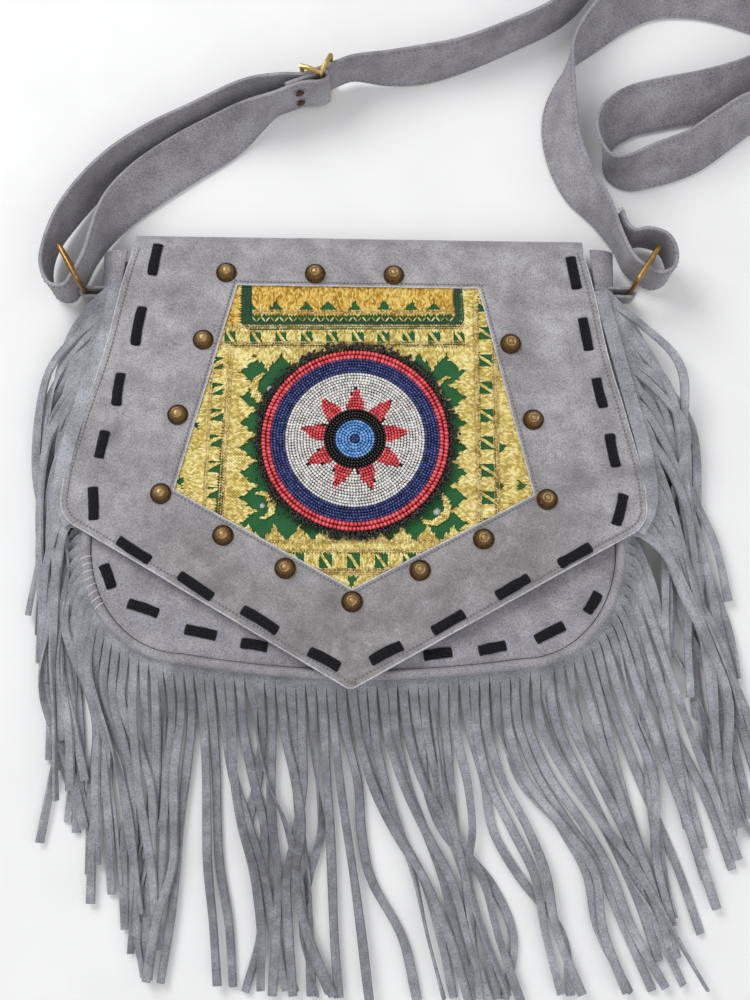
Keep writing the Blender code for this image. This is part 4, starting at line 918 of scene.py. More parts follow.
def clear_of(line, place, radius):
    """The stretches of a line that stay a radius away from a place."""
    runs = [[]]
    for point in line:
        if hypot(point[0] - place[0], point[1] - place[1]) > radius:
            runs[-1].append(point)
        elif runs[-1]:
            runs.append([])
    return [run for run in runs if len(run) > 1]


def lace_mesh(name, stitches, place, seed):
    """Puffed strips of thong, each dipping into its slots at both ends."""
    chance = np.random.default_rng(seed)
    parts = []
    for stitch in stitches:
        first, last = np.array(stitch[:2]) / 1000, np.array(stitch[2:]) / 1000
        reach = np.linalg.norm(last - first) / 2
        spot, along = (first + last) / 2, (last - first) / (2 * reach)
        across = np.array([-along[1], along[0]])
        bow = chance.normal(0, 0.0003)
        points = []
        stations = (-1.0, -0.985, -0.95, -0.88, -0.78, -0.5, -0.2, 0.2, 0.5, 0.78, 0.88, 0.95, 0.985, 1.0)
        for share in stations:
            end = max(0.0, abs(share) - 0.84) / 0.16
            rise = 0.0010 - 0.0022 * end**2
            width = LACE_WIDTH / 2 * (1 - 0.5 * end**4) * (1 + chance.normal(0, 0.035))
            for side, height in ((-1, -0.0009), (-1.02, 0.0001), (-0.78, 0.0007), (0, 0.0009),
                                 (0.78, 0.0007),
                                 (1.02, 0.0001), (1, -0.0009)):
                flat = spot + along * share * reach + across * (side * width + bow * (1 - share * share))
                points.append(place(flat[0], flat[1], rise + height - 0.0003))
        parts.append((points, capped(points, 7)))
    return mesh_of(name, *joined(parts))


def make_flap():
    """The flap's suede with its window, its lining, its sewn edges and its lace."""
    roll = (pi - FLAP_SLOPE) * FLAP_FOLD_RADIUS
    half = flap_half()
    outline = [(-FLAP_TOP_HALF, roll), (FLAP_TOP_HALF, roll)] + both_sides(half)
    leather = link("flap_suede", cut_sheet(
        "flap_suede", [outline, window_outline()], -SUEDE, 0.0, on_flap, 0.0040), "flap suede", "cut edge")
    add_stain_and_painted_shade(finish("flap suede"), tuple(on_flap(-0.129, -0.106, 0)), 0.009, "#5C5654")
    # The low half is darker and browner towards the point
    for across, up, wide in ((0.0, -0.215, 0.085), (0.085, -0.165, 0.055), (-0.08, -0.185, 0.045)):
        add_stain_and_painted_shade(finish("flap suede"), tuple(on_flap(across, up, 0)), wide, "#716B68")
    fold_with_flap(leather, "suede", "flap_panel")

    inner = [(-FLAP_TOP_HALF, 0.015),
             (FLAP_TOP_HALF, 0.015)] + both_sides([(x * 0.995, y * 0.996) for x, y in half])
    lining = link("flap_lining_suede", cut_sheet(
        "flap_lining_suede", [inner], -LINING_DEPTH - LINING_SUEDE, -LINING_DEPTH, on_flap, 0.008),
        "lining suede", "cut edge")
    fold_with_flap(lining, "lining_suede", "flap_lining")

    settings = stored("bag_flap")
    right = evenly(inset_line(half, settings.stitch_inset), 0.003)
    edge = np.vstack([np.stack([-right[:, 0], right[:, 1]], 1), right[::-1][1:]])
    corners = window_outline(0.0016)
    rim = []
    for a, b in zip(corners, corners[1:] + corners[:1]):
        rim += [tuple(p) for p in np.linspace(a, b, 30)[:-1]]
    rim.append(rim[0])
    lines = [[on_flap(x, up, 0.0003) for x, up in line] for line in (edge, rim)]
    put(sewn("flap_sewing", lines, width=SEWING_THREAD, hole=FLAP_HOLE), "flap", "suede")
    raw = [tube([on_flap(x, up, -0.0004) for x, up in line], 0.0005, 6) for line in (
        evenly(np.vstack([[(-x, y) for x, y in half], half[::-1][1:]]), 0.003),
        evenly(window_outline() + window_outline()[:1], 0.003))]
    put(link("flap_raw_edge", mesh_of("flap_raw_edge", *joined(raw)), "cut edge"), "flap", "suede")
    put(link("flap_thong", lace_mesh("flap_thong", FLAP_THONG, on_flap, 5), "thong"),
        "flap", "black_thong", "flap_lace")


def make_studs():
    """Turned cone studs: a flange, a cone that steepens and a small dished top."""
    profile = ((0.00001, 0.0002), (0.0050, 0.0), (0.00565, 0.0003), (0.00560, 0.0009), (0.0051, 0.0014),
               (0.0046, 0.0017), (0.0041, 0.0029), (0.0035, 0.0041), (0.0030, 0.0050), (0.0027, 0.0055),
               (0.0023, 0.0057), (0.0019, 0.0054), (0.0015, 0.0053), (0.0008, 0.0055), (0.00001, 0.0056))
    wear = (0, 0, 0.35, 0.1, 0.0, 0.12, 0.4, 0.5, 0.55, 0.75, 1.0, 0.35, 0.4, 0.75, 0.8)
    points, faces, worn = [], [], []
    sides = 28
    for x, down in STUD_PLACES:
        base = len(points)
        for (radius, height), rub in zip(profile, wear):
            for a in np.linspace(0, 2 * pi, sides + 1)[:-1]:
                points.append(on_flap_plane(x + radius * cos(a), -down + radius * sin(a),
                                            height + flap_relief(x, down) + 0.0001))
                worn.append(rub)
        faces += skin(len(profile), sides, base)
    mesh = mesh_of("flap_studs", points, faces)
    mesh.attributes.new("wear", "FLOAT", "POINT").data.foreach_set("value", np.array(worn, np.float32))
    names = [f"stud_{i + 1:02d}" for i in range(len(STUD_PLACES))]
    put(link("flap_studs", mesh, "brass"), "flap", "antique_brass", *names)


def rosette(x, y, height):
    """A point of the rosette, which is slightly domed, from the rosette's own centre."""
    dome = 0.0012 * (1 - (x * x + y * y) / 0.0030)
    return on_flap_plane(x, y - MEDALLION_DOWN, height + dome)


def bead_rows(radii, pitch, size, keep=None, spin=0.0):
    """Spots for rings of beads lying along their rows."""
    spots = []
    for k, radius in enumerate(radii):
        count = max(1, int(round(2 * pi * radius / pitch)))
        for i in range(count):
            angle = 2 * pi * i / count + spin + k * 0.37
            x, y = radius * cos(angle), radius * sin(angle)
            if keep is None or keep(x, y):
                spots.append((rosette(x, y, 0.0003), flap_turn(angle + pi / 2), size))
    return spots


def in_star(x, y):
    """Whether a place is inside the nine-pointed star round the black ring."""
    radius, angle = hypot(x, y), atan2(y, x) - pi / 2
    step = 2 * pi / STAR_POINTS
    off = abs((angle + step / 2) % step - step / 2) / (step / 2)
    return off < STAR_FULLNESS * (STAR_TIP - radius) / (STAR_TIP - STAR_ROOT)


def make_rosette():
    """Rows of glass beads couched on felt, and a tangled frill of tiny black beads."""
    settings = stored("bag_beads")
    row = settings.row
    small = (0.00152, 0.00162, 0.00160)
    pitch = settings.pitch
    fields = (
        ("rosette_red_rim", "red", "bead_ring_red", "red_beads",
         bead_rows((0.0487, 0.0487 - settings.red_row), 0.00205, (0.00205, 0.00268, 0.00240))),
        ("rosette_navy_rings", "navy", "bead_ring_navy", "navy_beads",
         bead_rows([0.0443 - row * k for k in range(5)], pitch, small)),
        ("rosette_white_field", "white", "bead_field_white", "white_beads",
         bead_rows([0.0363 - row * k for k in range(13)], pitch, small, lambda x, y: not in_star(x, y))),
        ("rosette_star", "red", "bead_star_red", "red_beads",
         bead_rows([0.0283 - row * k for k in range(8)], pitch, small, in_star)),
        ("rosette_black_ring", "black", "bead_ring_black", "black_beads",
         bead_rows([0.0160 - row * k for k in range(4)], pitch, small)),
        ("rosette_blue_disc", "blue", "bead_disc_blue", "blue_beads",
         bead_rows([0.0097 - row * k for k in range(5)], pitch, small)),
        ("rosette_centre", "navy", "bead_centre", "navy_beads",
         bead_rows([0.0014], pitch, small) + [(rosette(0, 0, 0.0004), flap_turn(0.3), small)]),
    )
    for name, material, node, slot, spots in fields:
        put(stamped(name, "bead", spots, material, settings.seed), "flap", slot, node)
    chance = np.random.default_rng(settings.seed)
    spots = []
    for _ in range(1350):
        radius = 0.0501 + abs(chance.normal(0, 0.0018)) + chance.uniform(0, 0.0012)
        angle = chance.uniform(0, 2 * pi)
        loop = 0.0004 + 0.0014 * chance.random() * max(0.2, 1 - (radius - 0.0503) / 0.006)
        turn = flap_turn(chance.uniform(0, 2 * pi), chance.uniform(-0.9, 0.9))
        size = (0.0014, 0.0015, 0.0015)
        spots.append((rosette(radius * cos(angle), radius * sin(angle), loop), turn, size))
    put(stamped("rosette_frill", "bead", spots, "black", 9, 0.2), "flap", "black_beads", "medallion_edging")
    disc = [(0.0502 * cos(a), 0.0502 * sin(a)) for a in np.linspace(0, 2 * pi, 73)[:-1]]
    felt = cut_sheet("rosette_felt", [disc], -0.0016, -0.0002, rosette, 0.006)
    put(link("rosette_felt", felt, "felt", "felt"), "flap", "backing_felt", "medallion_backing")


def camera_axes():
    """The camera's place and its right, up and forward directions."""
    forward = Vector((0, sin(CAMERA_TILT), -cos(CAMERA_TILT)))
    up = (Vector((0, 1, 0)) - forward * forward.y).normalized()
    right = forward.cross(up)
    turned_right = right * cos(CAMERA_ROLL) + up * sin(CAMERA_ROLL)
    turned_up = -right * sin(CAMERA_ROLL) + up * cos(CAMERA_ROLL)
    return Vector(CAMERA_AIM) - forward * CAMERA_DISTANCE, turned_right, turned_up, forward


def mm(x, y):
    """A place in the 750 by 1000 frame as the flap place that the camera sees there."""
    eye, right, up, forward = camera_axes()
    scale = PICTURE[1] * CAMERA_LENS / SENSOR
    ray = forward + right * (x - PICTURE[0] / 2) / scale - up * (y - PICTURE[1] / 2) / scale
    start = on_flap_plane(0, 0, 0)
    normal = Vector((0, sin(FLAP_SLOPE), cos(FLAP_SLOPE)))
    spot = eye + ray * (start - eye).dot(normal) / ray.dot(normal)
    return spot.x, (spot - start).dot(Vector((0, cos(FLAP_SLOPE), -sin(FLAP_SLOPE))))


def inside(shape, x, y):
    """Which of many places are inside a closed outline."""
    hit = np.zeros(len(x), bool)
    for (ax, ay), (bx, by) in zip(shape, np.roll(shape, -1, axis=0)):
        crosses = (ay > y) != (by > y)
        with np.errstate(divide="ignore", invalid="ignore"):
            hit ^= crosses & (x < (bx - ax) * (y - ay) / (by - ay) + ax)
    return hit


def hatch(shape, angle, settings, depth, chance, holes=()):
    """Spots for satin stitches that fill an outline at an angle, row by row."""
    outline = np.array(shape, float)
    turn = np.array([[cos(angle), sin(angle)], [-sin(angle), cos(angle)]])
    local = outline @ turn.T
    low, high = local.min(axis=0), local.max(axis=0)
    u, v = np.meshgrid(np.arange(low[0], high[0], settings.stitch * 0.62),
                       np.arange(low[1], high[1], settings.thread))
    u = u + (np.arange(len(v))[:, None] % 2) * settings.stitch * 0.31 + chance.normal(0, 0.0001, u.shape)
    places = np.stack([u.ravel(), v.ravel()], 1) @ turn
    kept = inside(outline, places[:, 0], places[:, 1])
    for hole in holes:
        kept &= ~inside(np.array(hole, float), places[:, 0], places[:, 1])
    away = np.hypot(places[:, 0], places[:, 1] + MEDALLION_DOWN)
    kept &= away > ROSETTE_COVER
    frame_shape = np.array(window_outline(0.0005))
    kept &= inside(frame_shape, places[:, 0], places[:, 1])
    spots = []
    for x, y in places[kept]:
        lean = chance.normal(0, 0.05)
        spots.append((on_flap(x, y, -depth + chance.normal(0, 0.00005)), flap_turn(angle + lean),
                      (settings.stitch * 0.98, settings.thread * 1.45, 0.0009)))
    return spots


def px_shape(*corners):
    """An outline on the flap from corners in the picture."""
    return [mm(x, y) for x, y in corners]


def lobe_row(start, end, count, depth, side, root):
    """A gold band with pointed lobes along one side, in photograph pixels."""
    a, b = np.array(start, float), np.array(end, float)
    along = (b - a) / np.linalg.norm(b - a)
    out = np.array([-along[1], along[0]]) * side
    pitch = np.linalg.norm(b - a) / count
    outline = [tuple(a - out * root)]
    for i in range(count):
        base = a + along * pitch * i
        for share, rise in ((0, 0.15), (0.22, 0.55), (0.30, 0.52), (0.5, 1), (0.70, 0.52), (0.78, 0.55)):
            outline.append(tuple(base + along * pitch * share + out * depth * rise))
    outline += [tuple(b + out * depth * 0.15), tuple(b - out * root)]
    return [mm(x, y) for x, y in outline]


def motif_band(start, end, width, pitch, first, flip=1):
    """Gold blocks alternating with pairs of green triangles: the gold parts as outlines in pixels."""
    a, b = np.array(start, float), np.array(end, float)
    length = np.linalg.norm(b - a)
    along = (b - a) / length
    across = np.array([-along[1], along[0]]) * flip
    block = pitch * 0.56
    shapes = []
    at = first - pitch
    while at < length:
        low, high = max(0.0, at), min(length, at + block)
        if high > low + 1:
            corners = (a + along * low, a + along * high, a + along * high + across * width,
                       a + along * low + across * width)
            shapes.append(([tuple(c) for c in corners], 0.0))
        gap = pitch - block
        low = at + block
        if low > 0 and low + gap < length:
            bar = 0.36 * gap
            corners = (a + along * (low - bar * 0.3), a + along * (low + bar * 0.8),
                       a + along * (low + gap + bar * 0.3) + across * width,
                       a + along * (low + gap - bar * 0.8) + across * width)
            shapes.append(([tuple(c) for c in corners], 0.6))
        at += pitch
    return [([mm(x, y) for x, y in corners], turn) for corners, turn in shapes]


def crescent(x, y, radius, start, sweep, thick):
    """The outline of a crescent moon, from its place and size in the picture."""
    outer = [(x + radius * cos(a), y + radius * sin(a)) for a in np.linspace(start, start + sweep, 16)]
    inner = [(x + (radius - thick * sin((a - start) / sweep * pi)) * cos(a),
              y + (radius - thick * sin((a - start) / sweep * pi)) * sin(a))
             for a in np.linspace(start + sweep, start, 16)]
    return [mm(a, b) for a, b in outer + inner]


def make_embroidery():
    """Green ground cloth laid over with bands, lobes and crescents of gilt stitches, cords and tape."""
    settings = stored("bag_embroidery")
    chance = np.random.default_rng(21)
    ground = cut_sheet("embroidery_ground", [window_outline(0.0018)], -0.0029, -0.0020, on_flap, 0.004)
    cloth = put(link("embroidery_ground", ground, "green", "green"), "flap", "embroidery",
                "embroidered_patch")
    corners = np.array(window_outline(0.0018))

    gold, deep, cord_lines, tape = [], [], [], []
    top_holes = [px_shape((x - 9, 310), (x + 9, 310),
                          (x, 300)) for x in (250, 276, 306, 328, 355, 384, 412, 434)]
    deep += hatch(px_shape((252, 283), (455, 283), (453, 300), (457, 314), (252, 314)), pi / 2, settings,
                  LAID, chance,
                  top_holes)
    deep += hatch(px_shape((228, 283), (241, 283), (240, 325), (218, 325)), 0, settings, LAID, chance)
    gold += hatch(px_shape((222, 324), (470, 324), (470, 331), (220, 331)), pi / 2, settings, LAID, chance)
    bands = (
        ((214, 330.5), (470, 330.5), 12.5, 25.5, 22, 1), ((229, 341), (213, 532), 17, 26, 2, 1),
        ((478, 284), (482, 540), 15, 27.4, 0, -1), ((240, 553), (465, 553), 15.5, 28, 8, 1),
    )
    for start, end, width, pitch, first, flip in bands:
        heading = atan2(-(end[1] - start[1]), end[0] - start[0])
        for shape, turn in motif_band(start, end, width, pitch, first, flip):
            gold += hatch(shape, heading + pi / 2 + turn * flip, settings, LAID, chance)
    gold += hatch(px_shape((171, 486), (224, 330), (212, 345), (206, 525), (176, 500)), 0.1, settings, LAID,
                  chance,
                  [px_shape((191, 424), (200, 421), (198, 430)),
                   px_shape((176, 480), (184, 476), (182, 488)),
                   px_shape((206, 372), (211, 368), (211, 378))])
    gold += hatch(px_shape((493, 284), (505, 330), (537, 500), (499, 520), (496, 440)), 0, settings, LAID,
                  chance,
                  [px_shape((498, 440), (507, 446), (499, 452)),
                   px_shape((496, 479), (505, 485), (497, 491)),
                   px_shape((518, 479), (527, 485), (519, 491))])
    gold += hatch(px_shape((461, 283), (478, 283), (479, 350), (470, 350), (461, 322)), 0, settings, LAID,
                  chance)
    for shape, angle in (
        (lobe_row((226, 349), (474, 349), 9, 22, 1, 3), pi / 2),
        (lobe_row((235, 548), (235, 346), 8, 23, 1, 12), 0),
        (lobe_row((470, 346), (472, 548), 8, 22, 1, 9), 0),
        (lobe_row((466, 545), (236, 545), 9, 22, 1, 5), pi / 2),
    ):
        gold += hatch(shape, angle, settings, LAID_LOBES, chance)
    gold += hatch(px_shape((236, 540), (466, 540), (466, 552), (440, 569), (352, 595), (262, 569),
                           (236, 552)), pi / 2, settings, LAID_LOW, chance,
                  [px_shape((347, 575), (359, 575), (351, 588)),
                   px_shape((240, 552), (465, 552), (465, 569), (240, 569))])
    for args in ((266, 388, 16, 0.6, 4.4, 8), (262, 505, 14, -2.2, 4.2, 8), (434, 508, 17, -1.6, 4.4, 8),
                 (447, 388, 12, 1.0, 4.2, 6)):
        gold += hatch(crescent(*args), 0.6, settings, LAID_CRESCENTS, chance)
    put(stamped("embroidery_gilt", "seed", gold, "gold", 3, 0.12), "flap", "embroidery")
    put(stamped("embroidery_deep_gilt", "seed", deep, "deep gold", 4, 0.12), "flap", "embroidery")

    lines = (
        (((252, 311), (456, 311)), 2), (((222, 326), (470, 326)), 2), (((218, 344), (470, 343)), 3),
        (((231, 345), (219, 532)), 3), (((213, 335), (203, 520)), 2), (((475, 300), (480, 530)), 3),
        (((494, 300), (498, 530)), 3),
        (((240, 541), (462, 541)), 2), (((245, 550), (462, 550)), 2), (((262, 571), (442, 571)), 3),
    )
    for ends, cords in lines:
        a, b = np.array(ends[0], float), np.array(ends[1], float)
        along = (b - a) / np.linalg.norm(b - a)
        across = np.array([-along[1], along[0]])
        count = int(np.linalg.norm(b - a) / 2.6)
        for k in range(cords):
            for i in range(count):
                spot = a + along * (i + 0.5) * 2.6 + across * (k - (cords - 1) / 2) * 2.3
                x, y = mm(*spot)
                covered = hypot(x, y + MEDALLION_DOWN) < ROSETTE_COVER
                if covered or not inside(corners, np.array([x]), np.array([y]))[0]:
                    continue
                heading = atan2(-along[1], along[0]) + (0.5 if k % 2 else -0.5)
                cord_lines.append((on_flap(x, y, -0.0011), flap_turn(heading), (0.0019, 0.0008, 0.0010)))
    for i in range(44):
        x, y = mm(254 + i * 4.6, 318.5)
        lean = 0.9 if i % 2 else -0.9
        cord_lines.append((on_flap(x, y, -0.0012), flap_turn(lean), (0.0038, 0.0010, 0.0010)))
    put(stamped("embroidery_cords", "seed", cord_lines, "cord", 6, 0.1), "flap", "embroidery")

    path = [mm(*p) for p in ((246, 288), (246, 320), (250, 325), (456, 324), (460, 318), (458, 288))]
    for first, second in zip(path, path[1:]):
        heading = atan2(second[1] - first[1], second[0] - first[0])
        for x, y in evenly((first, second), 0.0011):
            for k in (-2, -1, 0, 1, 2):
                off = k * 0.0010
                spot = (x - sin(heading) * off, y + cos(heading) * off)
                tape.append((on_flap(*spot, -0.0013), flap_turn(heading + (0.5 if k % 2 else -0.5)),
                             (0.0017, 0.0010, 0.0008)))
    put(stamped("embroidery_tape", "seed", tape, "tape", 8, 0.1), "flap", "embroidery")

    mirrors, dots = [], []
    # Small mirrors, drawn as pale matt cloth whose paleness is a painted reflection
    for x, y, size in ((270, 388, 0.0042), (437, 511, 0.0046), (262, 505, 0.0030)):
        mirrors.append((on_flap(*mm(x, y), -0.0016), flap_turn(0.3), (size, size, 0.0010)))
    for x, y in ((214, 372), (221, 452), (262, 330), (372, 330), (486, 396), (224, 498), (309, 560),
                 (301, 312), (440, 306)):
        dots.append((on_flap(*mm(x, y), -0.0011), flap_turn(chance.uniform(0, 3)),
                     (0.0016, 0.0009, 0.0009)))
    put(stamped("embroidery_mirrors", "seed", mirrors, "mirror painted reflection", 2, 0.05), "flap", "embroidery")
    put(stamped("embroidery_red_knots", "seed", dots, "red thread", 2, 0.1), "flap", "embroidery")


def make_body():
    """Back, front, gusset, welt and the hidden lining and snap."""
    back = [(FLAP_TOP_HALF, FOLD_Y)] + body_half(BACK_OUTSET, 3)

    def on_back(x, y, height):
        return Vector((x, y, height))

    outline = both_sides(back)
    back_suede = put(link("back_suede", cut_sheet("back_suede", [outline], 0.0, SUEDE, on_back, 0.012),
                          "suede", "cut edge"), "bag", "suede", "back_panel")
    shape = both_sides(body_half(0.0, 4))
    front = put(link("front_suede", cut_sheet("front_suede", [shape], -SUEDE, 0.0, on_front, 0.006),
                     "suede", "cut edge"), "bag", "suede", "front_panel")
    put(link("front_thong", lace_mesh("front_thong", FRONT_THONG, on_front, 6), "thong"),
        "bag", "black_thong", "front_lace")

    outer_low, outer_high = body_line(BACK_OUTSET), body_line(0.0)
    inner_low, inner_high = body_line(BACK_OUTSET - SUEDE), body_line(-SUEDE)
    points = []
    for k, (a, b, c, d) in enumerate(zip(outer_low, outer_high, inner_high, inner_low)):
        low = SUEDE + GAP
        top, inner_top = [body_height(spot[1], FRONT_DEPTH + SUEDE + GAP) for spot in (b, c)]
        for (p, q, height) in ((a, b, top), (d, c, inner_top)):
            order = (0, 0.25, 0.5, 0.75, 1) if p is a else (1, 0.75, 0.5, 0.25, 0)
            for share in order:
                bulge = 0.25 * GUSSET_BULGE * sin(share * pi) + 0.06 * sin(k * 0.9) * sin(share * pi)
                mix = 1 - share + bulge
                points.append((p[0] * mix + q[0] * (1 - mix), p[1] * mix + q[1] * (1 - mix),
                               low + (height - low) * share))
    mesh = mesh_of("gusset_suede", points, capped(points, 10))
    side = put(link("gusset_suede", mesh, "suede"), "bag", "suede", "gusset")

    line = [(x, y, body_height(y, FRONT_DEPTH)) for x, y in body_line(WELT_RADIUS + GAP, 4)]
    put(link("welt_suede", mesh_of("welt_suede", *tube(evenly(line, 0.003), WELT_RADIUS, 12)), "suede"),
        "bag", "suede", "front_welt")
    wraps = []
    path = evenly(line, 0.0039)
    for i in range(1, len(path) - 1):
        x, y, z = path[i]
        if x > 0 or not -0.090 < y < -0.060:
            continue
        tangent = Vector(path[i + 1] - path[i - 1]).normalized()
        across = tangent.cross(Vector((0, 0, 1))).normalized()
        arc = []
        for a in np.linspace(radians(-15), radians(195), 12):
            middle = Vector((x, y, z)) + tangent * 0.0006 * cos(a)
            arc.append(middle + (across * cos(a) + Vector((0, 0, 1)) * sin(a)) * (WELT_RADIUS + 0.0001))
        wraps.append(tube(arc, 0.00032, 6))
    put(link("welt_whipping", mesh_of("welt_whipping", *joined(wraps)), "pale thread"), "bag", "suede")
    for name, material, slot in (("lining_pouch", "lining cloth", "lining_cloth"),
                                 ("snap_socket", "snap", "snap_metal"),
                                 ("snap_stud", "snap", "snap_metal")):
        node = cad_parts[name]
        node.data.materials.clear()
        node.data.materials.append(finish(material))


def strand(points, settings, twist, start=0.009, wide=None):
    """A suede strip through points: whole while it is part of the band, then free and twisting."""
    line = evenly(smooth_line(points, 10), 0.0052)
    count = len(line)
    corners = []
    for i in range(count):
        tangent = Vector(line[min(count - 1, i + 1)] - line[max(0, i - 1)]).normalized()
        across = tangent.cross(Vector((0, 0, 1)))
        across = across.normalized() if across.length > 0.05 else Vector((1, 0, 0))
        normal = across.cross(tangent).normalized()
        run = i * 0.0052
        free = ease((run - start) / 0.02)
        angle = free * (twist[0] * sin(run * twist[1] + twist[2]) + twist[3] * ease(run / settings.length))
        side = across * cos(angle) + normal * sin(angle)
        up = normal * cos(angle) - across * sin(angle)
        half = settings.width / 2 * (1 - 0.06 * sin(run * 80 + twist[2]))
        if run < start:
            half = STRAND_PITCH * 0.503
        if wide:
            half = wide / 2
        thick = settings.thickness / 2
        middle = Vector(line[i])
        low = middle.z - abs(side.z) * half - abs(up.z) * thick
        if low < 0.0005:
            middle.z += 0.0005 - low
        top = 1 - 0.24 * ease((run - start) / 0.004)
        for a, b in ((-1, -1), (1, -1), (top, 1), (-top, 1)):
            corners.append(middle + side * half * a + up * thick * b)
    # Bottom faces take the third slot, the painted shade of the undersides; the sides take the cut edge
    return corners, capped(corners, 4), [2, 1, 0, 1] * (count - 1) + [1, 1]


def fringe_piece(name, routes, node, band=None):
    """One strip of fringe, strand by strand, with its uncut band where it has one."""
    settings = stored("bag_fringe")
    chance = np.random.default_rng(settings.seed + len(name))
    corners, faces, slots = [], [], []
    for points in routes + ([band] if band else []):
        wild = chance.random() < 0.30
        twist = (chance.normal(0, 0.7 if wild else 0.2), chance.uniform(25, 60), chance.uniform(0, 6),
                 chance.normal(0, 2.2 if wild else 0.3))
        if points is band:
            more, shape, kinds = strand(points, settings, (0, 0, 0, 0), 1.0, 0.0075)
        else:
            more, shape, kinds = strand(points, settings, twist)
        faces += [tuple(i + len(corners) for i in f) for f in shape]
        corners += more
        slots += kinds
    mesh = mesh_of(name, corners, faces, slots, smooth=False)
    if node == "fringe_bottom":
        # Painted shade, darkest over the middle of the bottom fringe
        add_stain_and_painted_shade(finish("fringe suede"), (-0.03, -0.215, 0.010), 0.140, "#504F55")
    piece = put(link(name, mesh, "fringe suede", "cut edge", "fringe underside shade"), "bag", "suede", node)


